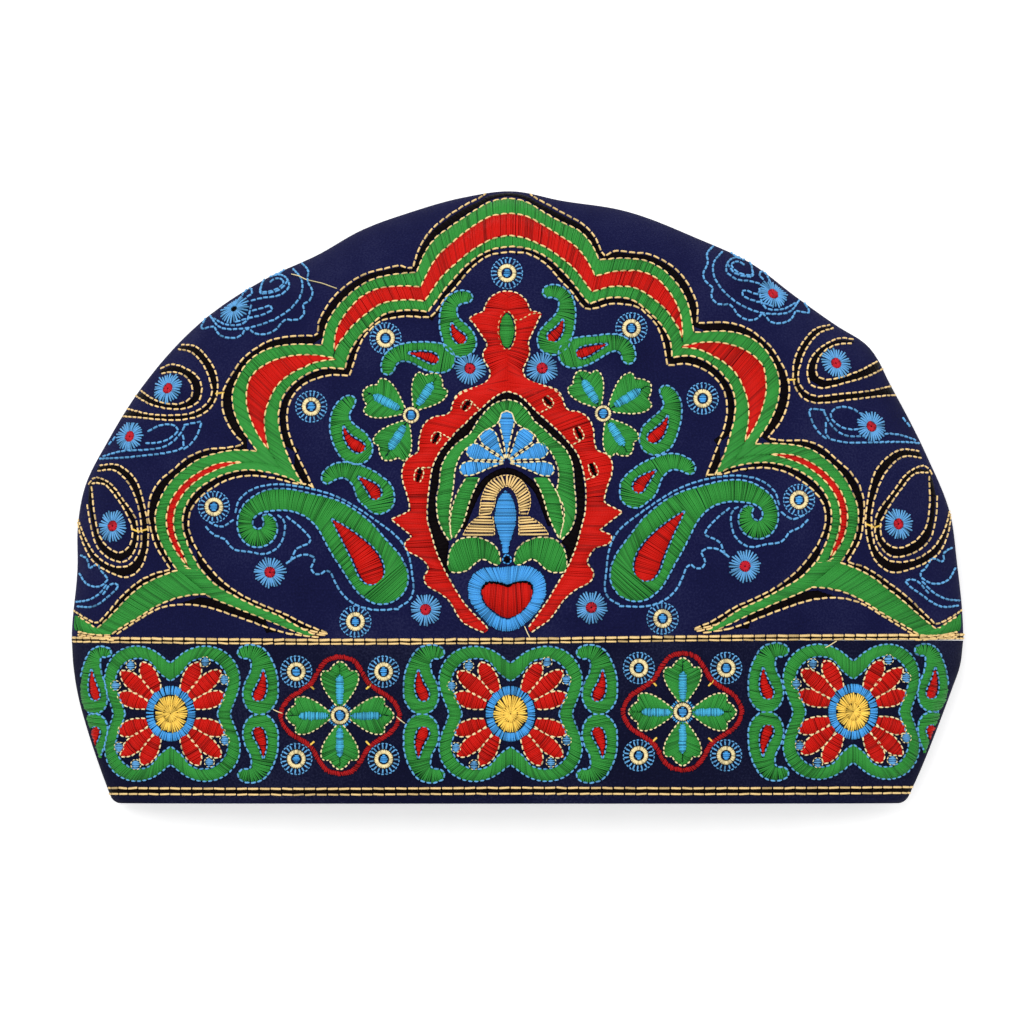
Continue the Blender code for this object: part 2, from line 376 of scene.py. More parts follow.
def lay(chart):
    """Chart points laid on the cap's front, and the front's normals there.

    A point past the side fold is folded under: its share of the radius over 1 becomes a distance
    back in under the cap, on the back's rolled edge.
    """
    x = (chart[..., 0] - CHART_X) * SQUARE
    y = (CHART_Y - chart[..., 1]) * SQUARE
    here = on_front(x, y)
    right = on_front(x + LAY_STEP, y)
    up = on_front(x, y + LAY_STEP)
    return here, unit(np.cross(right - here, up - here), TINY * LAY_STEP**2)


def on_front(x, y):
    """The point of the cap's front at flat x and y: crown above the seam, band below it."""
    above = y - SEAM_Y
    on_crown = above > 0
    crown_above = np.where(on_crown, above - SEAM_GAP / 2, 0.0)
    radius = crown_radius(x, crown_above, 0.0)
    drop = np.clip(-above, 0.0, BAND_HEIGHT)
    half = band_half_width(x, drop, 0.0)
    reach = np.where(on_crown, radius, half)
    share = np.where(on_crown, np.hypot(x, crown_above), np.abs(x)) / reach
    past = np.maximum(share - 1.0, 0.0)
    shrink = np.where(past > 0, (1.0 - past) / np.maximum(share, 1.0), 1.0)
    z_over = front_height(x, above, np.minimum(share, 1.0), 0.0)
    z_under = back_height(past * reach, 0.0, above, 0.0)
    z = np.where(past > 0, z_under, z_over)
    folded_y = np.where(on_crown, SEAM_Y + above * shrink, y)
    return np.stack([x * shrink, folded_y, z], -1)


def share_of_edge(chart):
    """How far out chart points lie: 1 on the side fold, over 1 past it."""
    x = (chart[..., 0] - CHART_X) * SQUARE
    above = (CHART_Y - chart[..., 1]) * SQUARE - SEAM_Y
    on_crown = above > 0
    crown = np.hypot(x, above) / crown_radius(x, above, 0.0)
    band = np.abs(x) / band_half_width(x, np.clip(-above, 0.0, BAND_HEIGHT), 0.0)
    return np.where(on_crown, crown, band)


def enlarged(chart, *points):
    """Points of an enlarged part of the chart, in the squares of the whole chart."""
    left, top, times = chart
    return np.array(points, float) / times + np.array([left, top])


def spline(points, steps=12):
    """A smooth path: cubic Hermite pieces on chord length; a point given twice is a corner."""
    points = np.array(points, float)
    twice = np.flatnonzero(np.all(np.abs(np.diff(points, axis=0)) < TINY, axis=1)) + 1
    runs = [curve_through(run, steps) for run in np.split(points, twice) if len(run) > 1]
    return np.concatenate([runs[0]] + [run[1:] for run in runs[1:]])


def curve_through(run, steps):
    """Cubic Hermite pieces through points with no corner, the slopes from their neighbours."""
    knots = lengths(run)
    at = np.linspace(0, len(run) - 1, (len(run) - 1) * steps + 1)
    left = np.minimum(at.astype(int), len(run) - 2)
    part = (at - left)[:, None]
    if len(run) == 2:
        return run[0] + (run[1] - run[0]) * np.linspace(0, 1, steps + 1)[:, None]
    span = np.diff(knots)[left][:, None]
    slopes = np.gradient(run, knots, axis=0)
    ease = part * part * (3 - 2 * part)
    lead = slopes[left] * span * part * (1 - part) ** 2
    trail = slopes[left + 1] * span * part * part * (1 - part)
    return run[left] + (run[left + 1] - run[left]) * ease + lead - trail


def lengths(path):
    """Distance along a path at each of its points."""
    steps = np.linalg.norm(np.diff(path, axis=0), axis=1)
    return np.concatenate([[0.0], np.cumsum(steps)])


def read(path, knots, at):
    """Points of a path at the distances given, by straight interpolation between its knots."""
    return np.stack([np.interp(at, knots, path[:, k]) for k in range(path.shape[1])], 1)


def even(path, count):
    """A path with its points spread evenly along it."""
    knots = lengths(path)
    return read(path, knots, np.linspace(0.0, knots[-1], count))


def there_and_back(one, other):
    """One line out along a path and back along another."""
    return np.concatenate([one, other[::-1]])


def dye(red, green, blue):
    """A thread or cloth colour from its 0 to 255 values on a shade card, made linear."""
    card = np.array([red, green, blue]) / 255.0
    linear = np.where(card <= 0.04045, card / 12.92, ((card + 0.055) / 1.055) ** 2.4)
    return tuple(float(value) for value in linear)


class CapColours(bpy.types.PropertyGroup):
    """Colours of the cap's cloth and threads"""

    def shade(name, description, default):
        return bpy.props.FloatVectorProperty(
            name=name, description=description, default=default, subtype="COLOR", min=0.0, max=1.0)

    crown_cloth: shade("Crown cloth", "Navy cotton of the crown", dye(19, 21, 60))
    band_cloth: shade("Band cloth", "Darker navy cotton of the head band", dye(14, 16, 42))
    gold: shade("Gold thread", "Pale gold outlines", dye(240, 206, 142))
    cream: shade("Cream thread", "Cream rings and ribs", dye(240, 222, 170))
    green: shade("Green thread", "Satin of the arch and leaves", dye(50, 140, 57))
    red: shade("Red thread", "Satin of the frame and petals", dye(196, 20, 10))
    blue: shade("Blue thread", "Satin of the palmette and heart", dye(74, 160, 226))
    sky: shade("Sky blue thread", "Outlines, vines and rosettes", dye(98, 163, 214))
    cyan: shade("Cyan thread", "Veins of the leaves", dye(74, 176, 214))
    yellow: shade("Yellow thread", "Flower centres and ties", dye(250, 208, 92))
    wine: shade("Wine thread", "Twisted outlines on the band", dye(164, 22, 26))
    crimson: shade("Crimson thread", "Middles of the rosettes", dye(188, 28, 44))
    tan: shade("Tan thread", "Ribs of the small arch", dye(238, 204, 138))
    # The dark thread also paints shade: the strips between close lines and the hollow under the palmette
    dark: shade("Dark thread", "Cords between gold lines, knots and slots", dye(10, 6, 9))


class CapSizes(bpy.types.PropertyGroup):
    """Sizes of the cap's stitches"""

    def size(name, description, default):
        return bpy.props.FloatProperty(
            name=name, description=description, default=default, subtype="DISTANCE",
            unit="LENGTH", min=0.0)

    satin_pitch: size("Satin pitch", "From one satin thread to the next", 0.00047)
    satin_half_width: size("Satin thread", "Half width of a satin thread", 0.00030)
    line_half_width: size("Line thread", "Half width of a thread in an outline", 0.00034)
    line_step: size("Line step", "From one outline stitch to the next", 0.0026)


def colours():
    """The cap's colours, as the scene holds them."""
    return bpy.context.scene.cap_colours


def sizes():
    """The sizes of the stitches, as the scene holds them."""
    return bpy.context.scene.cap_sizes


class Work:
    """The stitches of one motif, kept by the colour of their thread."""

    def __init__(self, name, seed):
        self.name = name
        self.random = np.random.default_rng(seed)
        self.rows = {}

    def add(self, colour, starts, ends, half, thick, loft, tone):
        """Adds straight stitches from chart points to chart points."""
        count = len(starts)
        if count == 0:
            return
        fill = [np.broadcast_to(np.asarray(value, float), (count,)) for value in
                (half, thick, loft, tone)]
        self.rows.setdefault(colour, []).append((starts, ends, *fill))

    def sew(self):
        """Makes one mesh for each colour."""
        for colour, rows in self.rows.items():
            joined = [np.concatenate(column) for column in zip(*rows)]
            piece = threads_mesh(self.name + "_" + colour, *rods(*joined))
            piece.data.materials.append(thread_material(colour))
            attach(piece, "root")
        return {"FINISHED"}


# How far from its ends a stitch reaches full width, the most that this is of its length, how far
# its ends dip into the cloth, and the rings of its rod
STITCH_END = 0.00026
MOST_END_SHARE = 0.2
STITCH_DIP = 0.00022
RINGS = 3
# Section of a stitch: a round back on a wider foot. Columns: share of its half width, of its height.
SECTION = [(1.0, -0.25), (0.70, 0.50), (0.0, 1.0), (-0.70, 0.50), (-1.0, -0.25)]
SECTION_POINTS = len(SECTION)

# Where satin stops before the side fold, as a share of the way there, and where lines raised over
# satin stop
FOLD_SHARE = 0.992
RAISED_FOLD_SHARE = 0.984

# Satin: how high a thread arches, as a share of its length and at most, thickness over half width,
# and how much threads vary: their ends in squares, their places as a share of the pitch
ARCH_SHARE = 0.16
MOST_ARCH = 0.00075
SATIN_THICKNESS = 1.15
END_JITTER = 0.30
PITCH_JITTER = 0.12

# Running stitches: thickness and arch over half width, how much their places and their tilt vary,
# and the shortest one kept
LINE_THICKNESS = 1.1
LINE_ARCH = 0.35
STEP_JITTER = 0.02
TILT_JITTER = 0.22
SHORTEST = 0.8

# Tones, 0 dark to 1 light: their middle, the slow drift and over how many threads it runs, the
# jump from thread to thread, and the share of its tone that a dark thread keeps
TONE_MIDDLE = 0.48
TONE_DRIFT = 0.30
TONE_RUN = 13
TONE_JUMP = 0.15
DARK_TONE = 0.3

# Painted shade between close lines, made of flat dark stitches: points of the edge beside it,
# narrowest space, longest stitch in steps, least half width and overlap as a share of a stitch,
# then its thickness and arch in metres
SHADE_STRIP_EDGE_POINTS = 1500
NARROWEST_SHADE_STRIP = 1.8
LONGEST_SHADE_STRIP = 3.0
LEAST_SHADE_STRIP_HALF = 0.5
SHADE_STRIP_OVERLAP = 0.35
SHADE_STRIP_THICKNESS = 0.00016
SHADE_STRIP_ARCH = 0.00003


def rods(starts, ends, half, thick, loft, tone):
    """Half-round rods along stitches, with a ring near each end and one in the middle.

    A ring's point is side times the half width plus the cloth's normal times the height, each
    times its share in the section, and a rod arches by its loft times the root of 4 s (1 - s).
    Each end closes in one point that dips into the cloth.
    """
    count = len(starts)
    reach = np.linalg.norm(ends - starts, axis=1) * SQUARE
    near = np.minimum(STITCH_END / np.maximum(reach, TINY), MOST_END_SHARE)
    share = np.stack([0 * near, near, 0 * near + 0.5, 1 - near, 0 * near + 1.0], 1)
    flat = starts[:, None] + (ends - starts)[:, None] * share[..., None]
    points, normals = lay(flat)
    rise = loft[:, None] * np.sqrt(np.maximum(4 * share * (1 - share), 0.0))
    rise[:, [0, -1]] = -STITCH_DIP
    points = points + normals * rise[..., None]
    side = np.cross(normals, unit(np.gradient(points, axis=1)))
    across, up = np.array(SECTION).T
    ring_side = side[:, 1:-1, None] * (half[:, None, None] * across)[..., None]
    ring_up = normals[:, 1:-1, None] * (thick[:, None, None] * up)[..., None]
    ring = points[:, 1:-1, None] + ring_side + ring_up
    verts = np.concatenate([ring.reshape(count, -1, 3), points[:, :1], points[:, -1:]], 1)
    long = np.linalg.norm(points[:, -1] - points[:, 0], axis=-1)
    along_rod = np.concatenate([np.repeat(share[:, 1:-1], SECTION_POINTS, 1), share[:, [0, -1]]], 1)
    round_rod = np.concatenate([np.tile(np.linspace(0.0, 1.0, SECTION_POINTS), RINGS), [0.5, 0.5]])
    uv = np.stack([long[:, None] * along_rod, np.repeat(round_rod[None], count, 0)], -1)
    tones = np.repeat(tone[:, None], verts.shape[1], 1)
    return verts, rod_faces(RINGS), uv, tones


def rod_faces(rings):
    """Triangles of one rod: bands between its rings, each closed underneath, and a fan at each end."""
    number = np.arange(rings * SECTION_POINTS).reshape(rings, SECTION_POINTS)
    after = np.roll(number, -1, axis=1)
    a, b, c, d = number[:-1], after[:-1], after[1:], number[1:]
    bands = np.concatenate([np.stack([a, b, c], -1).reshape(-1, 3),
                            np.stack([a, c, d], -1).reshape(-1, 3)])
    first = np.full(SECTION_POINTS, rings * SECTION_POINTS)
    start_fan = np.stack([first, after[0], number[0]], -1)
    end_fan = np.stack([first + 1, number[-1], after[-1]], -1)
    return np.concatenate([bands, start_fan, end_fan])


def threads_mesh(name, verts, triangles, uv, tones):
    """One mesh of like rods, with a UV map along each thread and its tone."""
    count, size = verts.shape[:2]
    faces = (triangles[None] + (np.arange(count) * size)[:, None, None]).reshape(-1, 3)
    mesh = triangle_mesh(name, verts.reshape(-1, 3), faces, uv.reshape(-1, 2))
    tone = mesh.attributes.new("tone", "FLOAT", "POINT")
    tone.data.foreach_set("value", tones.astype(np.float32).ravel())
    return linked(name, mesh)


def triangle_mesh(name, verts, faces, uv=None):
    """A smooth mesh of triangles from whole arrays, with a UV map where each vertex has a place."""
    mesh = bpy.data.meshes.new(name)
    mesh.vertices.add(len(verts))
    mesh.vertices.foreach_set("co", verts.astype(np.float32).ravel())
    mesh.loops.add(faces.size)
    mesh.loops.foreach_set("vertex_index", faces.astype(np.int32).ravel())
    mesh.polygons.add(len(faces))
    mesh.polygons.foreach_set("loop_start", np.arange(len(faces), dtype=np.int32) * 3)
    mesh.polygons.foreach_set("use_smooth", np.ones(len(faces), bool))
    mesh.update(calc_edges=True)
    mesh.validate()
    if uv is not None:
        order = np.empty(len(mesh.loops), np.int32)
        mesh.loops.foreach_get("vertex_index", order)
        layer = mesh.uv_layers.new(name="UVMap")
        layer.uv.foreach_set("vector", uv[order].astype(np.float32).ravel())
    return mesh


def linked(name, data):
    """An object in the scene, at the origin, that holds a mesh, a lamp or a camera."""
    piece = bpy.data.objects.new(name, data)
    bpy.context.scene.collection.objects.link(piece)
    return piece


def satin(work, colour, rail_a, rail_b, matched=False, loft=None, half=1.0, pitch=1.0, keep=1.6):
    """Satin between two rails: threads cross from one to the other at an even pitch.

    The rails are paired by equal shares of their lengths, or point by point where matched.
    """
    if not matched:
        count = 4 * max(len(rail_a), len(rail_b))
        rail_a, rail_b = even(rail_a, count), even(rail_b, count)
    middle = (rail_a + rail_b) / 2
    knots = lengths(middle)
    spacing = sizes().satin_pitch / SQUARE * pitch
    count = max(int(knots[-1] / spacing), 1)
    at = (np.arange(count) + 0.5) * knots[-1] / count
    at = at + work.random.normal(0, PITCH_JITTER * spacing, count)
    starts, ends = cut_at_fold(read(rail_a, knots, at), read(rail_b, knots, at))
    width = np.linalg.norm(ends - starts, axis=1)
    way = unit(ends - starts)
    starts = starts + way * work.random.normal(0, END_JITTER, (count, 1))
    ends = ends + way * work.random.normal(0, END_JITTER, (count, 1))
    fits = width > keep
    starts, ends, width = starts[fits], ends[fits], width[fits]
    height = np.minimum(ARCH_SHARE * width * SQUARE, MOST_ARCH) if loft is None else loft
    tone = tones_for(work, len(starts))
    half_width = sizes().satin_half_width * half
    work.add(colour, starts, ends, half_width, half_width * SATIN_THICKNESS, height, tone)


def cut_at_fold(starts, ends, fold=FOLD_SHARE):
    """Threads cut off at the side fold: an end past it moves back along its thread to the fold."""
    first, last = share_of_edge(starts), share_of_edge(ends)
    run = np.where(np.abs(last - first) < TINY, 1.0, last - first)
    crossing = starts + (ends - starts) * np.clip((fold - first) / run, 0.0, 1.0)[:, None]
    starts = np.where((first > fold)[:, None], crossing, starts)
    return starts, np.where((last > fold)[:, None], crossing, ends)


def tones_for(work, count, deep=0.07):
    """Tones of neighbouring threads: a slow drift plus a small jump, and a few dark threads."""
    if count == 0:
        return np.zeros(0)
    jumps = work.random.normal(0, 1, count + TONE_RUN - 1)
    drift = np.convolve(jumps, np.ones(TONE_RUN) / TONE_RUN, "valid")
    tone = TONE_MIDDLE + TONE_DRIFT * drift + work.random.normal(0, TONE_JUMP, count)
    return np.clip(np.where(work.random.random(count) < deep, DARK_TONE * tone, tone), 0.0, 1.0)


def running(work, colour, path, step=None, filled=0.88, half=1.0, lift=0.0, flat=1.0):
    """Running stitches along a path, evenly spaced on the cloth itself.

    They stop at the side fold, and a little before it where they are raised over satin.
    """
    knots = lengths(lay(path)[0]) / SQUARE
    step = sizes().line_step / SQUARE if step is None else step
    count = max(int(round(knots[-1] / step)), 1)
    spacing = knots[-1] / count
    begin = (np.arange(count) + (1 - filled) / 2) * spacing
    finish = begin + spacing * filled
    begin = begin + work.random.normal(0, STEP_JITTER * spacing, count)
    starts, ends = read(path, knots, begin), read(path, knots, finish)
    across = unit(np.stack([-(ends - starts)[:, 1], (ends - starts)[:, 0]], 1))
    tilt = across * work.random.normal(0, TILT_JITTER, (count, 1))
    starts, ends = cut_at_fold(starts + tilt, ends - tilt, 1.0 if lift == 0.0 else RAISED_FOLD_SHARE)
    fits = np.linalg.norm(ends - starts, axis=1) > SHORTEST
    starts, ends = starts[fits], ends[fits]
    tone = tones_for(work, len(starts), deep=0.0)
    width = sizes().line_half_width * half
    work.add(colour, starts, ends, width, width * LINE_THICKNESS * flat,
             width * LINE_ARCH * flat + lift, tone)


def painted_shade_strip(work, line, edge, most=13.0, step=5.0, spare=1.0):
    """Painted shade: flat dark stitches between a line and the nearest parts of an edge, where they lie
    close.

    Each flat stitch runs along the middle of the space and is as wide as the space there, and
    overlaps its neighbours.
    """
    line = even(line, max(int(lengths(line)[-1] / step), 3))
    edge = even(edge, SHADE_STRIP_EDGE_POINTS)
    far = np.linalg.norm(line[:, None] - edge[None], axis=-1)
    near = far.min(axis=1)
    middle = (line + edge[far.argmin(axis=1)]) / 2
    wide = (near[1:] + near[:-1]) / 2
    way = middle[1:] - middle[:-1]
    starts, ends = middle[:-1] - way * SHADE_STRIP_OVERLAP, middle[1:] + way * SHADE_STRIP_OVERLAP
    fits = (wide > NARROWEST_SHADE_STRIP) & (wide < most)
    fits &= np.linalg.norm(way, axis=1) < LONGEST_SHADE_STRIP * step
    fits &= share_of_edge((starts + ends) / 2) < 1.0
    half = np.maximum(wide[fits] / 2 - spare, LEAST_SHADE_STRIP_HALF) * SQUARE
    tone = tones_for(work, int(fits.sum()))
    # Dark stitches that paint the shade in the narrow space
    work.add("dark", starts[fits], ends[fits], half, SHADE_STRIP_THICKNESS, SHADE_STRIP_ARCH, tone)


# Colours that dyes are mixed with, and how the twill's ribs are turned
BLACK = (0.0, 0.0, 0.0)
BLOOM = (0.25, 0.28, 0.55)
TWILL_TURN = (0.0, 0.0, math.radians(27.0))


def new_material(name):
    """A material, a function that adds a wired node, and one that wires its shader."""
    material = bpy.data.materials.new(name)
    material.use_nodes = True
    tree = material.node_tree

    def wire(node, inputs):
        """Gives each input of a node its link or its value."""
        for key, value in inputs.items():
            if isinstance(value, bpy.types.NodeSocket):
                tree.links.new(value, node.inputs[key])
            else:
                node.inputs[key].default_value = value

    def add(kind, inputs, **settings):
        node = tree.nodes.new(kind)
        for key, value in settings.items():
            setattr(node, key, value)
        wire(node, inputs)
        return node

    def surface(inputs):
        wire(tree.nodes["Principled BSDF"], inputs)

    return material, add, surface


def shades(add, fac, stops):
    """A colour ramp through the stops, each a place and a colour."""
    ramp = add("ShaderNodeValToRGB", {"Fac": fac})
    elements = ramp.color_ramp.elements
    while len(elements) < len(stops):
        elements.new(0.5)
    for element, (place, colour) in zip(elements, stops):
        element.position = place
        element.color = (*colour, 1.0)
    return ramp.outputs["Color"]


def mixed(colour, other, share):
    """A colour moved towards another by a share."""
    return tuple(a + (b - a) * share for a, b in zip(colour, other))


def thread_material(colour):
    """Shiny machine thread: its tone from thread to thread, and a fine twist along it."""
    name = colour + "_thread"
    if name in bpy.data.materials:
        return bpy.data.materials[name]
    material, add, surface = new_material(name)
    base = tuple(getattr(colours(), colour))
    tone = add("ShaderNodeAttribute", {}, attribute_name="tone").outputs["Fac"]
    dark = mixed(base, BLACK, 0.55)
    light = tuple(min(channel * 1.15, 1.0) for channel in base)
    deep = shades(add, tone, [(0.0, dark), (0.45, base), (1.0, light)])
    uv = add("ShaderNodeUVMap", {}, uv_map="UVMap").outputs["UV"]
    turned = add("ShaderNodeMapping", {"Vector": uv, "Scale": (2600.0, 1.0, 1.0)}).outputs["Vector"]
    twist = add("ShaderNodeTexWave", {"Vector": turned, "Scale": 0.32, "Distortion": 0.0},
                bands_direction="DIAGONAL").outputs["Fac"]
    bump = add("ShaderNodeBump", {"Height": twist, "Strength": 0.5, "Distance": 0.00008})
    surface({"Base Color": deep, "Normal": bump.outputs["Normal"], "Roughness": 0.52,
             "Specular IOR Level": 0.02 if colour == "dark" else 0.12})
    return material


def cloth_material(name, base):
    """Navy cotton twill: diagonal ribs on the UV map, with mottled dye and soft bloom."""
    material, add, surface = new_material(name)
    uv = add("ShaderNodeUVMap", {}, uv_map="UVMap").outputs["UV"]
    place = add("ShaderNodeTexCoord", {}).outputs["Object"]
    mottle = add("ShaderNodeTexNoise", {"Vector": place, "Scale": 38.0, "Detail": 6.0,
                                        "Roughness": 0.62}).outputs["Fac"]
    fleck = add("ShaderNodeTexNoise", {"Vector": uv, "Scale": 1500.0, "Detail": 2.0}).outputs["Fac"]
    both = add("ShaderNodeMath", {0: mottle, 1: fleck}, operation="ADD").outputs["Value"]
    half = add("ShaderNodeMath", {0: both, 1: 0.5}, operation="MULTIPLY").outputs["Value"]
    dark = mixed(base, BLACK, 0.45)
    light = mixed(base, BLOOM, 0.06)
    colour = shades(add, half, [(0.26, dark), (0.50, base), (0.74, light)])
    turned = add("ShaderNodeMapping", {"Vector": uv, "Rotation": TWILL_TURN}).outputs["Vector"]
    ribs = add("ShaderNodeTexWave", {"Vector": turned, "Scale": 620.0, "Distortion": 0.6,
                                     "Detail": 1.0}, bands_direction="X").outputs["Fac"]
    yarns = add("ShaderNodeTexWave", {"Vector": uv, "Scale": 700.0, "Distortion": 0.8,
                                      "Detail": 1.0}, bands_direction="Y").outputs["Fac"]
    weave = add("ShaderNodeMath", {0: yarns, 1: 0.45, 2: ribs}, operation="MULTIPLY_ADD")
    bump = add("ShaderNodeBump", {"Height": weave.outputs["Value"], "Strength": 0.55,
                                  "Distance": 0.00012})
    surface({"Base Color": colour, "Normal": bump.outputs["Normal"], "Roughness": 0.88,
             "Specular IOR Level": 0.06})
    return material


# Cloth: how far its UV map moves outwards as it falls, the distances at which points are joined
# and edges taken out, and the angle in degrees over which an edge stays sharp
FALL_SHARE = 0.8
JOINED = 1e-6
SHORTEST_EDGE = 1e-7
SHARP_ANGLE = 55


def cloth_piece(node, slot, outer, inner):
    """A closed piece of cloth from the grids of its two faces, joined by rims round the edge.

    Its UV map is flat x and y, moved away from the middle of the seam by a share of how far the
    point lies below the cap's highest line.
    """
    rows, columns = outer.shape[:2]
    number = np.arange(rows * columns).reshape(rows, columns)
    inside = number + rows * columns

    def strips(grid):
        """Quads between neighbouring rows and columns."""
        return np.stack([grid[:-1, :-1], grid[:-1, 1:], grid[1:, 1:], grid[1:, :-1]], -1).reshape(-1, 4)

    def rim(a, b):
        """Quads between two edges."""
        return np.stack([a[:-1], a[1:], b[1:], b[:-1]], -1)

    quads = np.concatenate([
        strips(number), strips(inside)[:, ::-1], rim(inside[0], number[0]),
        rim(number[-1], inside[-1]), rim(number[:, 0], inside[:, 0]),
        rim(inside[:, -1], number[:, -1])])
    points = np.concatenate([outer.reshape(-1, 3), inner.reshape(-1, 3)])
    faces = np.concatenate([quads[:, [0, 1, 2]], quads[:, [0, 2, 3]]])
    away = unit(np.stack([points[:, 0], np.maximum(points[:, 1] - SEAM_Y, 0.0)], 1))
    fall = (SEAM_DEPTH + FOLD_HEIGHT - points[:, 2])[:, None]
    uv = points[:, :2] + away * fall * FALL_SHARE
    mesh = triangle_mesh(node + "_cloth", points, faces, uv)
    tidy = bmesh.new()
    tidy.from_mesh(mesh)
    bmesh.ops.remove_doubles(tidy, verts=tidy.verts, dist=JOINED)
    bmesh.ops.dissolve_degenerate(tidy, edges=tidy.edges, dist=SHORTEST_EDGE)
    bmesh.ops.recalc_face_normals(tidy, faces=tidy.faces)
    tidy.to_mesh(mesh)
    tidy.free()
    mesh.shade_smooth()
    mesh.set_sharp_from_angle(angle=math.radians(SHARP_ANGLE))
    mesh.materials.append(cloth_material(node + "_cotton", tuple(getattr(colours(), slot))))
    piece = linked(node + "_cloth", mesh)
    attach(piece, "root")
    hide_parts(node)
    return piece


# The cloth. Columns: its node, its slot, the function of its points, columns and rows of these.
CLOTHS = [
    ("crown_front", "crown_cloth", crown_grid, 200, 90),
    ("crown_back", "crown_cloth", crown_back_grid, 240, 60),
    ("band_front", "band_cloth", band_front_grid, 220, 30),
    ("band_back", "band_cloth", band_back_grid, 260, 30),
]


class CutCloth(bpy.types.Operator):
    """Cut and shape the four pieces of navy cotton, at their places on the cap"""

    bl_idname = "cap.cut_cloth"
    bl_label = "Cloth"

    def execute(self, context):
        for node, slot, grid, columns, rows in CLOTHS:
            cloth_piece(node, slot, grid(columns, rows, 0.0), grid(columns, rows, CLOTH))
        return {"FINISHED"}


# Where the right half of the hand-made work lies against the left. Columns: x and y on the left
# half, x and y of the same place on the right half.
TWINS = [
    (412.7, 268.7, 603, 256), (431.7, 318, 586, 311), (318, 336, 697, 325),
    (350, 376, 667, 368), (244, 443, 767, 437), (314, 489, 705, 479),
    (172, 569.5, 846, 562), (98, 621, 932, 622), (329, 633, 693.5, 628.6),
    (386, 339, 631, 329), (312, 407, 702, 399), (215, 507, 798, 500),
    (271, 572, 744, 566), (356, 621, 662, 618), (169, 389, 835, 364),
    (131, 437, 870, 427), (114, 526, 897, 524), (235, 310, 772, 295),
    (411, 415.6, 602, 414), (392, 518, 622, 512), (424, 577, 595, 576),
    (470, 369, 542, 369), (426, 609, 591, 607), (351, 432, 659, 421),
    (371, 486, 643, 480), (459, 330, 554, 330), (425, 357, 590, 352),
    (259, 524, 757, 515), (385, 591, 634, 588), (508, 195, 508, 195),
    (508, 253, 508, 253), (508, 292, 508, 292), (508, 400, 508, 400),
    (508, 500, 508, 500), (508, 600, 508, 600),
    (388.6, 268.7, 623, 250.5), (362.5, 276, 652, 251.5), (346.9, 286, 671, 261),
    (333.5, 298.3, 684, 276), (324.6, 311.7, 691.5, 292),
    (393.8, 318.6, 622, 304.5), (373.7, 327.3, 644, 311), (362.5, 340.7, 656, 323.5),
    (355.8, 358.6, 664.5, 341),
]
# Sum of x of a point and its mirror image, how wide a twin's hold is, the power of the distance by
# which it fades, where the correction at the fold starts, and the least share it divides by
TWIN_SUM = 1016.0
TWIN_HOLD = 12.0
TWIN_POWER = 2.5
NEAR_FOLD = 0.86
LEAST_SHARE = 0.1


def mirrored(points):
    """Chart points of the left half carried to the right half.

    Each is mirrored about the middle, then moved by the moves of all twins, weighted by one over
    their distance to a power. Near the side fold it then moves along its ray from the middle of
    the seam, to lie as far out, by its share of the radius, as on the left.
    """
    twins = np.array(TWINS, float)
    points = np.asarray(points, float)
    move = np.stack([twins[:, 2] - (TWIN_SUM - twins[:, 0]), twins[:, 3] - twins[:, 1]], 1)
    far = np.sum((points[..., None, :] - twins[:, :2]) ** 2, -1) + TWIN_HOLD**2
    weight = far ** (-TWIN_POWER / 2)
    weight /= weight.sum(-1, keepdims=True)
    moved = np.sum(weight[..., None] * move, -2)
    there = np.stack([TWIN_SUM - points[..., 0], points[..., 1]], -1) + moved
    share = share_of_edge(points)
    out = np.clip((share - NEAR_FOLD) / (1 - NEAR_FOLD), 0.0, 1.0)
    stretch = share / np.maximum(share_of_edge(there), LEAST_SHARE) - 1
    grown = 1 + out * out * (3 - 2 * out) * stretch
    return SEAM_MIDDLE + (there - SEAM_MIDDLE) * grown[..., None]


def both_sides(path):
    """A path of the left half, and its twin on the right half."""
    return [np.asarray(path, float), mirrored(path)]


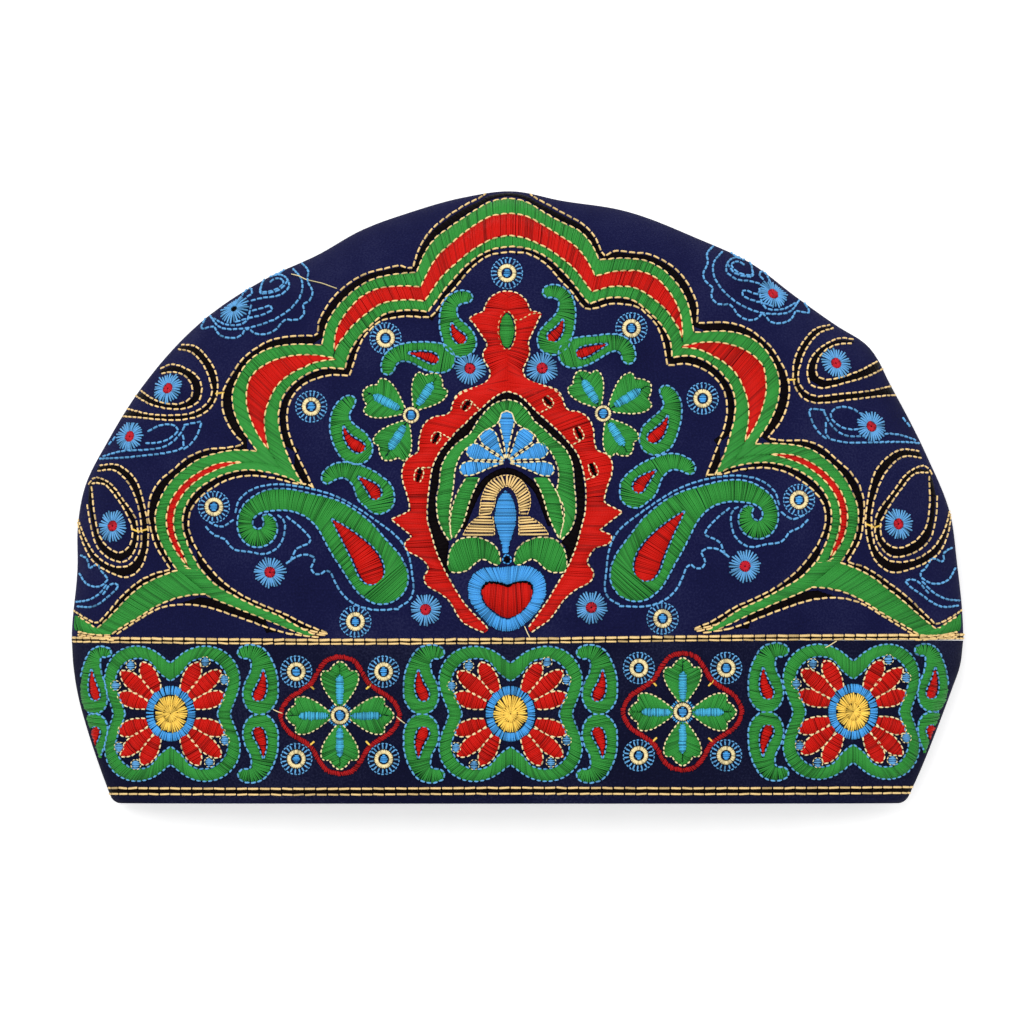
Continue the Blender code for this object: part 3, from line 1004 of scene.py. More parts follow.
# The lobed arch, from its point down the left side: each lobe's outer gold line, outer and inner
# edge of the green satin, and inner gold line. The outer gold of the first lobe runs over the fold.
LOBES = [
    {
        "gold": [(508, 189.2), (496, 190.8), (488, 193.0), (482, 197.3), (466.1, 205.2),
                 (448.9, 216.3), (435.1, 227), (426.5, 236.8), (419.6, 248.9), (413.6, 267)],
        "outer": [(508, 200.0), (490.2, 203.4), (476.4, 211.3), (462.7, 220), (448.9, 229.7),
                  (436.8, 238.5), (426.5, 252.3), (417, 273.8)],
        "inner": [(508, 248.0), (493.7, 250), (479.9, 256.4), (466.1, 267), (454, 279.9),
                  (443.7, 291.9), (435.1, 304), (427.9, 312.9)],
        "inner_gold": [(508, 253), (490.2, 255.8), (476.4, 264.4), (466.1, 274.7), (454, 290.2),
                       (445.4, 298.8), (438.5, 309.1), (431.7, 317.8)],
        "red": [(0.0, 0.31, 0.77), (0.25, 0.30, 0.80), (0.5, 0.32, 0.78), (0.75, 0.34, 0.74),
                (1.0, 0.37, 0.73)],
    },
    {
        "gold": [(412.7, 269.5), (400.7, 266.1), (388.6, 268.7), (380, 270.4), (362.5, 276),
                 (346.9, 286), (333.5, 298.3), (324.6, 311.7), (319, 322.9), (319, 336.3)],
        "outer": [(417, 273.8), (402.4, 274.7), (390.3, 276.4), (380.4, 278.2), (362.5, 286),
                  (346.9, 298.3), (333.5, 313.9), (326.8, 327.3), (322.8, 346.3)],
        "inner": [(427.9, 312.9), (414.4, 310.9), (400.7, 311.7), (388.6, 313.5), (369.2, 328.4),
                  (358, 340.7), (349.1, 356.3), (345.8, 369.7)],
        "inner_gold": [(431.7, 317.8), (421.3, 317.8), (405.8, 316.9), (393.8, 318.6),
                       (381.7, 321.2), (373.7, 327.3), (362.5, 340.7), (355.8, 358.6),
                       (350.2, 376.4)],
        "red": [(0.0, 0.37, 0.73), (0.5, 0.25, 0.70), (0.8, 0.34, 0.63), (0.96, 0.48, 0.50),
                (1.0, 0.5, 0.5)],
    },
    {
        "gold": [(319, 336.3), (304.5, 336.3), (286.6, 337.4), (268.8, 341.8), (255.4, 349.6),
                 (242, 360.8), (233, 374.2), (226.3, 385.4), (223, 396.5), (224.1, 412.1),
                 (230.8, 427.8), (242, 441.2), (246.4, 444.5)],
        "outer": [(322.8, 346.3), (304.5, 345.2), (284.4, 346.3), (266.5, 350.8),
                  (250.9, 360.8), (239.7, 376.4), (233.5, 394.3), (235.3, 412.1),
                  (242, 427.8), (250.9, 441.2), (258.7, 451.9)],
        "inner": [(345.8, 369.7), (326.8, 368.6), (308.9, 374.2), (295.5, 383.1),
                  (284.4, 396.5), (279.9, 409.9), (279.9, 425.5), (284.4, 443.4),
                  (291.1, 461.3), (297.8, 474.6), (304.5, 485.8)],
        "inner_gold": [(350.2, 376.4), (335.7, 375.3), (317.9, 378.7), (302.2, 386.5),
                       (291.1, 401), (287.7, 416.6), (290, 434.5), (297.8, 454.6),
                       (306.7, 472.4), (314.5, 489.2)],
        "red": [(0.0, 0.54, 0.60), (0.1, 0.46, 0.72), (0.22, 0.37, 0.80), (0.5, 0.21, 0.76),
                (0.8, 0.41, 0.58), (0.88, 0.5, 0.5), (1.0, 0.5, 0.5)],
    },
    {
        "gold": [(246.4, 444.5), (228.6, 447.9), (206.3, 450.1), (188.4, 457.9), (175, 469.1),
                 (161.6, 480.2), (152.7, 493.6), (149.3, 510.4), (151.6, 528.2),
                 (157.1, 546.1), (168.3, 563.9), (171.7, 569.5)],
        "outer": [(258.7, 451.9), (239.7, 450.5), (219.6, 453.4), (201.8, 459), (186.2, 469.1),
                  (171.7, 482.5), (161.6, 499.2), (156.7, 514.8), (158.3, 532.7),
                  (166.1, 550.5), (178.3, 569.5)],
        "inner": [(304.5, 484.7), (286.6, 476.9), (268.8, 472.4), (246.4, 470.2),
                  (228.6, 473.5), (210.7, 481.3), (195.1, 493.6), (186.2, 508.1),
                  (183.9, 523.8), (187.3, 539.4), (195.1, 557.2), (201.8, 569.5)],
        "inner_gold": [(314.5, 488.5), (295.5, 483.6), (273.2, 478), (250.9, 475.8),
                       (230.8, 479.1), (215.2, 486.9), (201.8, 497), (191.7, 510.4),
                       (189.5, 526), (195.1, 543.8), (206.3, 561.7), (219.6, 577.3),
                       (239.7, 592.9), (262.1, 604.1), (284.4, 613), (306.7, 624.2),
                       (328.6, 632.7)],
        "red": [(0.0, 0.5, 0.5), (0.19, 0.5, 0.5), (0.32, 0.41, 0.65), (0.6, 0.39, 0.67),
                (0.9, 0.42, 0.66), (0.99, 0.55, 0.55), (1.0, 0.55, 0.55)],
    },
]

# The leaves at the foot of the arch and at the edge: upper rail, lower rail, and how many points
# of the lower one are hidden under the arch.
FOOT_LEAVES = [
    ([(180, 569.4), (161.6, 576.2), (143.8, 585.1), (128.1, 598.5), (114.7, 613), (98, 628.7)],
     [(208.3, 593.4), (188.4, 595.2), (175, 598.5), (157.1, 606.3), (139.3, 617.5),
      (123.7, 626.4), (112.5, 634.2)], 0),
    ([(201.8, 568.5), (215.2, 583), (235.3, 595.2), (257.6, 606.3), (279.9, 615.3),
      (300, 626.4), (315.6, 634.2)],
     [(178.3, 569), (192, 580), (206.3, 594.1), (224.1, 601.9), (246.4, 610.8), (268.8, 619.7),
      (291.1, 628.7), (304.5, 633.6)], 2),
    ([(98, 628.7), (86, 620), (74.6, 613)], [(112.5, 634.2), (94.6, 634.2), (74.6, 630)], 0),
]
# The gold lines round these leaves
FOOT_LINES = [
    [(171.7, 569.5), (157.1, 572.9), (139.3, 581.8), (123.7, 595.2), (110.3, 610.8),
     (98, 624.2), (98, 624.2), (85.7, 617.5), (72, 609)],
    [(117, 634.2), (139.3, 619.7), (161.6, 607.5), (183.9, 604.1), (206.3, 606.3),
     (228.6, 613), (250.9, 620.8), (273.2, 628.7), (293.3, 634.2)],
]
# Where gold thread is knotted off, on the enlarged side
KNOT_LINES = [
    [(1120, 886), (1250, 912)], [(1150, 903), (1240, 918)], [(1060, 908), (1210, 926)],
    [(100, 900), (280, 926)], [(104, 912), (270, 934)], [(100, 922), (296, 940)],
    [(598, 600), (655, 634)], [(606, 616), (680, 628)],
]


def rails_between(outer, inner, reds):
    """Four rails: outer, both edges of the red band, inner.

    Each is outer plus inner less outer times its share, which changes along the rail: 0, the two
    shares of the table, 1.
    """
    place, *shares = np.array([(at, 0.0, one, other, 1.0) for at, one, other in reds]).T
    at = np.linspace(0.0, 1.0, len(outer))
    return [outer + (inner - outer) * np.interp(at, place, share)[:, None] for share in shares]


# Points along a lobe's rails, and how high the knots lie
LOBE_POINTS = 90
KNOT_LIFT = 0.0003


class SewArch(bpy.types.Operator):
    """Sew the lobed arch: green satin with a red band in it, and gold lines round it"""

    bl_idname = "cap.sew_arch"
    bl_label = "Lobed Arch"

    def execute(self, context):
        work = Work("arch", 11)
        for lobe in LOBES:
            for outer, inner in zip(*[both_sides(even(spline(lobe[key]), LOBE_POINTS))
                                      for key in ("outer", "inner")]):
                self.sew_lobe(work, rails_between(outer, inner, lobe["red"]))
        for upper, lower, hidden in FOOT_LEAVES:
            for side in (0, 1):
                satin(work, "green", *[both_sides(spline(rail))[side] for rail in (upper, lower)])
                for rail in (upper, lower[hidden:]):
                    running(work, "gold", both_sides(spline(rail))[side], lift=OVER)
        self.sew_lines(work)
        for line in KNOT_LINES:
            for path in both_sides(spline(enlarged(LEFT_SIDE, *line))):
                running(work, "gold", path, step=9.0, filled=0.95, lift=KNOT_LIFT)
        return work.sew()

    def sew_lobe(self, work, rails):
        """One lobe: satin between its four rails, green, red and green, and gold on each rail."""
        outer, first, second, inner = rails
        for colour, one, other in zip(("green", "red", "green"), rails[:-1], rails[1:]):
            satin(work, colour, one, other, matched=True, keep=1.2)
        apart = np.linalg.norm(first - second, axis=1) > 1.0
        for line in (outer, inner, first[apart], second[apart]):
            running(work, "gold", line, lift=OVER)

    def sew_lines(self, work):
        """The gold lines beside the arch and its leaves, with painted shade of flat dark stitches up to
        the green edges.
        """
        edges = [spline(sum([lobe[key] for lobe in LOBES], [])) for key in ("outer", "inner")]
        rails = [spline(rail) for row in FOOT_LEAVES for rail in row[:2]]
        green_edge = np.concatenate(edges + rails)
        lines = [sum([lobe[key] + lobe[key][-1:] for lobe in LOBES], [])
                 for key in ("gold", "inner_gold")]
        for line in lines + FOOT_LINES:
            for path, edge in zip(both_sides(spline(line)), both_sides(green_edge)):
                running(work, "gold", path)
                # Painted shade between the gold line and the green edge
                painted_shade_strip(work, path, edge)


def offset(path, distance):
    """A path moved sideways: each point plus the unit normal of the path times the distance."""
    ahead = unit(np.gradient(path, axis=0))
    return path + np.stack([ahead[:, 1], -ahead[:, 0]], 1) * distance


def leaf_rails(base, tip, profile, half):
    """Both sides of a leaf: the line from base to tip plus and minus its profile's half width."""
    base, tip = np.array(base, float), np.array(tip, float)
    share, wide = even(spline(profile, steps=RAIL_STEPS), RAIL_POINTS).T
    way = tip - base
    across = np.array([-way[1], way[0]]) / np.linalg.norm(way)
    return [base + share[:, None] * way + across * (wide * half * sign)[:, None]
            for sign in (1.0, -1.0)]


# Points along the rails of small motifs and round their rings, and from one point of a profile or
# of a table of rails to the next
RAIL_POINTS = 48
RAIL_STEPS = 8

# Profiles of petals, leaves and bars. Columns: share along, share of the half width.
OVAL_PETAL = [(0.0, 0.45), (0.25, 0.82), (0.5, 1.0), (0.75, 0.86), (0.9, 0.50), (1.0, 0.05)]
WEDGE_PETAL = [(0.0, 0.05), (0.3, 0.36), (0.6, 0.78), (0.78, 1.0), (0.9, 0.86), (0.98, 0.5),
               (1.0, 0.1)]
NOTCHED_LEAF = [(0.0, 0.16), (0.16, 0.46), (0.36, 0.79), (0.5, 0.95), (0.63, 1.02), (0.76, 0.97),
                (0.76, 0.58), (0.76, 0.58), (0.87, 0.45), (0.95, 0.24), (1.0, 0.02)]
ROUND_BAR = [(0.0, 0.55), (0.1, 0.85), (0.4, 1.0), (0.8, 1.0), (0.95, 0.6), (1.0, 0.08)]
LEAF_MIDDLE = [(0.0, 0.0), (0.94, 0.0)]
# Points of a leaf's edge before its satin begins
LEAF_START = 4


def leaf(work, base, tip, half):
    """A notched green leaf: satin from its middle line up to both edges, and a cream edge."""
    line = leaf_rails(base, tip, LEAF_MIDDLE, 0.0)[0]
    edges = leaf_rails(base, tip, NOTCHED_LEAF, half)
    for edge in edges:
        satin(work, "green", line, edge[LEAF_START:], keep=0.8)
    running(work, "cream", there_and_back(*edges), step=5.0, half=0.9, lift=OVER)


def petal(work, colour, base, tip, half, profile, outline=None, **options):
    """Satin straight across a petal or a bar, and an outline of running stitches on its edge."""
    edges = leaf_rails(base, tip, profile, half)
    satin(work, colour, *edges, matched=True, keep=0.8, **options)
    if outline:
        running(work, outline, there_and_back(*edges), step=6.2, half=0.9, lift=OVER)


# How far an outline on the edge of satin is raised, and how high threads arch over other satin
OVER = 0.00035
HIGH = 0.0012


def cream_lines(work, rails):
    """A raised line of cream stitches on each rail."""
    for rail in rails:
        running(work, "cream", rail, step=6.0, half=0.9, lift=OVER)


def ring_of(centre, radius, start=0.0, turn=2 * math.pi, count=RAIL_POINTS):
    """Points of a circle, or a part of one, from a start angle."""
    angle = start + np.linspace(0.0, turn, count)
    return np.array(centre, float) + radius * np.stack([np.cos(angle), np.sin(angle)], 1)


# Spokes: the fewest round a centre, how much their angles vary, how high they arch at most, from
# what share of the way to the fold a ring is flattened, and how fast
FEWEST_SPOKES = 6
ANGLE_JITTER = 0.02
MOST_SPOKE_ARCH = 0.0006
TURN_FROM = 0.8
TURN_GAIN = 1.3


def radial(work, colour, centre, inner, outer, pitch=1.0, ragged=0.0, fine=1.0, tall=1.0):
    """Satin that runs outwards all the way round a centre, on rings that may be taller than wide.

    Near the side fold the rings are flattened: each direction loses a share of its part along
    the ray from the middle of the seam, as the cloth there turns away.
    """
    count = int(math.pi * (inner + outer) / (sizes().satin_pitch / SQUARE * pitch))
    count = max(count, FEWEST_SPOKES)
    angle = np.arange(count) * 2 * math.pi / count + work.random.normal(0, ANGLE_JITTER, count)
    way = np.stack([np.cos(angle), tall * np.sin(angle)], 1)
    reach = outer + work.random.uniform(-ragged, ragged, (count, 1))
    centre = np.array(centre, float)
    ray = unit(centre - SEAM_MIDDLE)
    turned = max(share_of_edge(centre[None])[0] - TURN_FROM, 0.0) * TURN_GAIN
    way -= turned * (way @ ray)[:, None] * ray
    half = sizes().satin_half_width * fine
    starts, ends = cut_at_fold(centre + way * inner, centre + way * reach)
    height = min(ARCH_SHARE * (outer - inner) * SQUARE, MOST_SPOKE_ARCH)
    work.add(colour, starts, ends, half, half * SATIN_THICKNESS, height, tones_for(work, count))


def disc(work, colour, centre, radius, **options):
    """Parallel satin across a small disc."""
    left, right = [ring_of(centre, radius, math.pi * 0.5, turn, RAIL_POINTS // 2)
                   for turn in (math.pi, -math.pi)]
    satin(work, colour, left, right, matched=True, keep=0.8, **options)


# Radii of the round motifs: a ring of spokes has two, inner and outer, a line or a disc one.
WHEEL_SPOKES = (9.6, 15.2)
WHEEL_RIM = 15.5
WHEEL_RING = (4.9, 9.8)
WHEEL_DISC = 4.1
ROSETTE_CORE = 6.3
DARK_ROSETTE_CORE = 4.0
ROSETTE_HOLE = 0.3
ROSETTE_OVERLAP = 1.3
ROSETTE_RADIUS = 16.0
FLOWER_RING = (5.0, 8.6)
FLOWER_DISC = 4.4


def wheel(work, centre):
    """A blue wheel of spokes and rim round a cream ring with a blue middle."""
    centre = np.array(centre, float)
    radial(work, "sky", centre, *WHEEL_SPOKES, pitch=2.6, ragged=0.5, fine=0.95)
    running(work, "sky", ring_of(centre, WHEEL_RIM), step=3.9, half=0.72, filled=0.85)
    radial(work, "cream", centre, *WHEEL_RING, fine=1.1)
    disc(work, "blue", centre, WHEEL_DISC)


def rosette(work, centre, middle="crimson", core=ROSETTE_CORE):
    """A blue rosette with ragged ends round a small core."""
    radial(work, "sky", centre, core - ROSETTE_OVERLAP, ROSETTE_RADIUS, pitch=1.45, ragged=1.4,
           fine=1.05)
    radial(work, middle, centre, ROSETTE_HOLE, core, pitch=0.9, ragged=0.9)


# Half width of a drop. Columns: share along from its point, share of the half width.
DROP_PROFILE = [(0.0, 0.0), (0.12, 0.24), (0.3, 0.52), (0.5, 0.80), (0.68, 0.98), (0.8, 1.0),
                (0.9, 0.84), (0.97, 0.48), (1.0, 0.0)]


def drop_rails(axis, half):
    """Two sides of a drop: its axis plus and minus its half width, from its point to its round end."""
    axis = even(spline(axis), RAIL_POINTS)
    wide = half * smooth_through(DROP_PROFILE, 1, np.linspace(0.0, 1.0, RAIL_POINTS))[:, None]
    across = offset(axis, 1.0) - axis
    return axis + across * wide, axis - across * wide


def rounded(path, wide, first, last):
    """Half widths with a round end: the root of 2 r d less d squared within r of each end."""
    at = lengths(path)
    for radius, far in ((first, at), (last, at[-1] - at)):
        near = np.sqrt(np.maximum(2 * radius * far - far * far, 0.0))
        wide = np.where(far < radius, np.minimum(wide, near), wide)
    return wide


# Points along a paisley's spine, and the space between its drop and the satin round it
SPINE_POINTS = 200
DROP_SPACE = 1.4


def paisley(work, spine, halves, drop, drop_half):
    """A green paisley round a red drop, with pale blue lines on its edge and round the drop.

    Its rails are the spine plus and minus the half width. Above the drop satin crosses from rail
    to rail, beside the drop from each rail to the drop's edge, and below it across again. A spine
    that runs over the side fold has no tail.
    """
    path = even(spline(spine), SPINE_POINTS)
    knots = np.linspace(0.0, 1.0, len(halves))
    wide = smooth_through(list(zip(knots, halves)), 1, np.linspace(0.0, 1.0, len(path)))
    wide = rounded(path, np.maximum(wide, 0.0), halves[0], halves[-1])[:, None]
    across = offset(path, 1.0) - path
    left, right = path + across * wide, path - across * wide
    first, last = [int(np.argmin(np.linalg.norm(path - np.array(end), axis=1)))
                   for end in (drop[0], drop[-1])]
    one, two = drop_rails(drop, drop_half + DROP_SPACE)
    if np.all(share_of_edge(path) < 1.0):
        satin(work, "green", left[:first + 1], right[:first + 1], matched=True, keep=1.0)
    else:
        left, right = left[first:], right[first:]
        first, last = 0, last - first
    satin(work, "green", left[first:last + 1], one, keep=1.0)
    satin(work, "green", two, right[first:last + 1], keep=1.0)
    satin(work, "green", left[last:], right[last:], matched=True, keep=1.0)
    satin(work, "red", *drop_rails(drop, drop_half), matched=True, keep=0.8)
    running(work, "sky", there_and_back(left, right), step=6.4, filled=0.94, half=1.1, lift=OVER)
    running(work, "sky", there_and_back(one, two), step=5.4, half=0.95, lift=OVER)


# The red finial: its two sides, and the gold line on it
FINIAL_LEFT = enlarged(
    MIDDLE_TOP, (740, 652), (700, 655), (670, 668), (635, 695), (612, 735), (600, 775), (600, 775),
    (555, 785), (515, 812), (515, 812), (545, 838), (565, 868), (600, 920), (625, 970), (600, 1000),
    (603, 1050), (630, 1090), (642, 1130), (632, 1160), (600, 1190), (530, 1215), (460, 1240),
    (430, 1275))
FINIAL_RIGHT = enlarged(
    MIDDLE_TOP, (740, 652), (775, 655), (805, 668), (840, 695), (862, 735), (870, 770), (870, 770),
    (905, 770), (940, 780), (940, 780), (920, 812), (905, 850), (880, 900), (860, 960), (870, 985),
    (866, 1020), (850, 1060), (828, 1110), (842, 1150), (895, 1182), (960, 1200), (1020, 1228),
    (1050, 1270))
FINIAL_LINE = enlarged(MIDDLE_TOP, (772, 822), (820, 820), (860, 792), (938, 782))
# Points along a side, x of the finial's middle line, y of its foot, and how far satin of both
# sides runs over it
FINIAL_POINTS = 240
FINIAL_AXIS = 507.6
FINIAL_FOOT = 391.5
FINIAL_OVERLAP = 2.0
# Its green eye: centre, half width and half height, the space round it, and the line round it: its
# size over the eye's, and its rise
FINIAL_EYE = (506.8, 331.5)
FINIAL_EYE_HALVES = (7.6, 17.0)
EYE_SPACE = 2
EYE_LINE = 1.16
EYE_LIFT = 0.0003

# The frame's sides. Columns: outer x and y, inner x and y, on the enlarged middle. A row given
# twice is a corner.
FRAME_LEFT = [
    (640, 38, 765, 72), (560, 60, 715, 92), (490, 85, 660, 130), (440, 140, 610, 178),
    (430, 190, 575, 205), (400, 215, 545, 235), (330, 225, 510, 270), (270, 265, 470, 305),
    (245, 330, 430, 350), (235, 400, 390, 395), (235, 435, 365, 430), (170, 475, 345, 465),
    (140, 530, 320, 520), (135, 590, 308, 580), (155, 660, 298, 650), (175, 730, 290, 730),
    (185, 790, 286, 790), (185, 790, 286, 790), (70, 840, 287, 850), (70, 840, 287, 850),
    (200, 945, 312, 935), (200, 945, 312, 935), (150, 980, 322, 970), (170, 1030, 340, 1030),
    (230, 1060, 360, 1080), (270, 1090, 378, 1120), (300, 1135, 390, 1145),
    (300, 1135, 390, 1145), (265, 1190, 410, 1180), (290, 1240, 438, 1230),
    (360, 1280, 465, 1275), (420, 1330, 500, 1330), (460, 1400, 550, 1390),
    (500, 1455, 600, 1440), (560, 1490, 635, 1475), (630, 1520, 655, 1500),
]
FRAME_RIGHT = [
    (900, 38, 765, 72), (960, 42, 815, 85), (1040, 50, 870, 120), (1090, 90, 920, 170),
    (1110, 150, 955, 205), (1130, 185, 985, 230), (1200, 195, 1020, 262), (1260, 240, 1070, 308),
    (1285, 300, 1110, 350), (1290, 370, 1150, 395), (1310, 430, 1185, 440),
    (1370, 450, 1205, 485), (1400, 510, 1222, 540), (1395, 570, 1232, 600),
    (1370, 640, 1240, 665), (1345, 740, 1240, 740), (1345, 740, 1240, 740),
    (1460, 795, 1236, 800), (1460, 795, 1236, 800), (1320, 905, 1210, 900),
    (1320, 905, 1210, 900), (1400, 945, 1200, 935), (1380, 985, 1190, 975),
    (1300, 1010, 1178, 1010), (1260, 1060, 1160, 1060), (1245, 1100, 1145, 1095),
    (1245, 1100, 1145, 1095), (1290, 1170, 1110, 1160), (1270, 1210, 1085, 1200),
    (1180, 1260, 1050, 1260), (1110, 1320, 1015, 1320), (1060, 1390, 965, 1390),
    (1010, 1450, 930, 1440), (950, 1490, 905, 1470), (910, 1520, 895, 1490),
]
# Slots in the frame. Columns: x and y of its low end, of its high end, and of its tail's end.
FRAME_SLOTS = [
    (498, 188, 545, 128, 600, 185), (326, 388, 358, 318, 425, 355), (224, 618, 248, 532, 312, 530),
    (988, 108, 1036, 168, 965, 200), (1180, 288, 1214, 368, 1160, 395),
    (1268, 502, 1300, 586, 1238, 606),
]


# Half widths of a slot and of the line round it, and how much higher its thread lies
SLOT_HALF = 2.9
SLOT_LINE_HALF = 4.2
SLOT_LIFT = 0.0003


def rail_pair(rows):
    """Two matched rails from rows of four columns on the enlarged middle of the chart."""
    left, top, times = MIDDLE
    rails = spline(rows, steps=RAIL_STEPS) / times
    return rails[:, :2] + np.array([left, top]), rails[:, 2:] + np.array([left, top])


class SewFrame(bpy.types.Operator):
    """Sew the red finial and frame in the middle, with cream lines and slots"""

    bl_idname = "cap.sew_frame"
    bl_label = "Red Frame"

    def execute(self, context):
        work = Work("frame", 21)
        for rail, side in ((FINIAL_LEFT, -1), (FINIAL_RIGHT, 1)):
            self.sew_finial(work, rail, side)
        eye = np.array(FINIAL_EYE)
        oval = eye + np.array(FINIAL_EYE_HALVES) * ring_of((0, 0), 1.0, -math.pi / 2)
        half = len(oval) // 2
        satin(work, "green", oval[:half + 1], oval[half:][::-1][:half + 1])
        running(work, "gold", eye + (oval - eye) * EYE_LINE, step=6.0, half=0.8, lift=EYE_LIFT)
        for rows in (FRAME_LEFT, FRAME_RIGHT):
            outer, inner = rail_pair(rows)
            satin(work, "red", inner, outer, matched=True)
            cream_lines(work, (outer, inner))
        for row in FRAME_SLOTS:
            self.sew_slot(work, *enlarged(MIDDLE, row[:2], row[2:4], row[4:]))
        running(work, "gold", spline(FINIAL_LINE), step=5.4, half=0.8, lift=HIGH)
        return work.sew()

    def sew_finial(self, work, rail, side):
        """Half of the finial: satin from its middle line, which bows round the eye, to its edge."""
        edge = even(spline(rail), FINIAL_POINTS)
        wide, tall = np.array(FINIAL_EYE_HALVES) + EYE_SPACE
        down = np.linspace(edge[0, 1] + 1.0, FINIAL_FOOT, len(edge))
        bow = wide * np.sqrt(np.clip(1 - ((down - FINIAL_EYE[1]) / tall) ** 2, 0, 1))
        inner = np.stack([FINIAL_AXIS + (bow - FINIAL_OVERLAP) * side, down], 1)
        satin(work, "red", inner, edge, matched=True)
        cream_lines(work, [edge])

    def sew_slot(self, work, start, finish, end):
        """A dark slot with a cream line round it and a cream tail."""
        petal(work, "dark", start, finish, SLOT_HALF, ROUND_BAR, loft=HIGH + SLOT_LIFT)
        edges = leaf_rails(start, finish, ROUND_BAR, SLOT_LINE_HALF)
        running(work, "cream", there_and_back(*edges), step=4.6, filled=1.1, half=0.85, lift=HIGH)
        running(work, "cream", spline([finish, end]), step=5.0, filled=1.0, half=0.8, lift=HIGH)


# The green arch inside the frame. Columns as the frame's.
INNER_ARCH_LEFT = [
    (765, 122, 765, 190), (700, 140, 738, 200), (640, 190, 712, 262), (590, 250, 655, 298),
    (545, 325, 605, 330), (470, 380, 560, 390), (430, 420, 520, 415), (390, 480, 490, 450),
    (365, 560, 455, 540), (360, 640, 448, 610), (345, 700, 440, 680), (345, 780, 425, 770),
    (355, 850, 420, 850), (380, 910, 425, 900), (420, 970, 435, 960),
]
INNER_BRANCH_LEFT = [
    (520, 592, 602, 588), (490, 640, 575, 650), (460, 700, 550, 710), (440, 760, 530, 770),
    (428, 820, 515, 830), (425, 880, 490, 890), (428, 940, 450, 955),
]
INNER_ARCH_RIGHT = [
    (765, 122, 765, 190), (830, 135, 795, 203), (890, 190, 818, 262), (930, 250, 880, 300),
    (990, 300, 930, 330), (1040, 350, 965, 390), (1100, 400, 1010, 412), (1150, 480, 1050, 475),
    (1165, 560, 1075, 545), (1170, 640, 1075, 610), (1180, 740, 1066, 680),
    (1175, 830, 1100, 745), (1150, 900, 1112, 800), (1120, 935, 1108, 850),
    (1090, 965, 1085, 940),
]
INNER_BRANCH_RIGHT = [
    (1010, 590, 925, 590), (1050, 650, 960, 650), (1080, 710, 985, 710), (1095, 780, 1000, 770),
    (1105, 850, 1020, 830), (1090, 920, 1050, 900), (1085, 960, 1080, 955),
]
# Petals of the blue palmette. Columns: tip x and y, base x and y, half width.
PALMETTE = [
    (765, 188, 763, 478, 46), (625, 312, 755, 482, 54), (526, 418, 750, 488, 50),
    (482, 545, 748, 500, 44), (902, 308, 775, 482, 54), (1010, 412, 780, 488, 50),
    (1050, 548, 782, 500, 44),
]
# The ribbed cream arch and its wings. Columns: outer x and y, inner x and y.
RIBBED_ARCH = [
    (600, 820, 665, 810), (605, 760, 690, 760), (620, 690, 700, 700), (650, 630, 720, 670),
    (700, 590, 745, 645), (765, 575, 765, 640), (830, 590, 790, 650), (880, 640, 820, 690),
    (905, 700, 835, 740), (905, 760, 840, 775), (888, 815, 840, 812),
]
WINGS = [
    [(598, 822, 680, 820), (556, 852, 685, 856), (524, 890, 690, 894), (500, 938, 690, 938)],
    [(893, 822, 838, 820), (942, 848, 838, 856), (988, 886, 838, 894), (1018, 936, 838, 938)],
]
# Painted shade: a wide flat line of dark stitches in the hollow between the green branches and under the
# palmette
HOLLOW = [(496, 900), (545, 770), (612, 640), (640, 606), (700, 566), (765, 545), (828, 566),
          (890, 606), (928, 640), (990, 770), (1030, 880)]
# The blue drop under the palmette: where its axis and its eye are. Columns: y, half width.
DROP_X = 757.0
DROP_EYE = (766, 1080)
DROP = [(665, 0), (700, 35), (750, 58), (800, 65), (850, 66), (900, 55), (950, 38), (1000, 24),
        (1035, 20), (1055, 6)]
# Bean leaves beside the heart. Columns: outer x and y, inner x and y. Then the middle between the
# left leaf and its twin, and how many points of the outer edge lie beside the frame.
BEAN_LEFT = [
    (410, 1120, 425, 1155), (415, 1060, 450, 1160), (430, 1010, 490, 1158),
    (470, 965, 530, 1145), (530, 948, 570, 1108), (590, 948, 605, 1080), (640, 965, 630, 1078),
    (690, 995, 660, 1095), (722, 1050, 690, 1112), (728, 1100, 715, 1115),
]
BEAN_MIDDLE = 768.0
LOW_BEAN = 28
# The heart: outer and inner edge of its blue satin, upper and lower edge of its red middle
HEART_OUTER = enlarged(
    MIDDLE, (765, 1120), (700, 1125), (620, 1130), (560, 1170), (530, 1240), (535, 1310),
    (570, 1380), (630, 1450), (690, 1495), (760, 1515), (830, 1500), (900, 1450), (960, 1380),
    (995, 1310), (1005, 1240), (980, 1170), (920, 1125), (850, 1115), (765, 1120))
HEART_INNER = enlarged(
    MIDDLE, (770, 1235), (735, 1222), (700, 1215), (640, 1220), (610, 1270), (630, 1340),
    (690, 1400), (770, 1435), (830, 1410), (890, 1350), (920, 1280), (910, 1225), (850, 1210),
    (805, 1222), (770, 1235))
HEART_TOP = enlarged(
    MIDDLE, (615, 1260), (640, 1225), (700, 1222), (750, 1235), (770, 1245), (800, 1225),
    (860, 1215), (905, 1225), (918, 1265))
HEART_FOOT = enlarged(
    MIDDLE, (615, 1290), (640, 1350), (690, 1395), (740, 1425), (770, 1435), (820, 1420),
    (870, 1380), (905, 1330), (918, 1285))


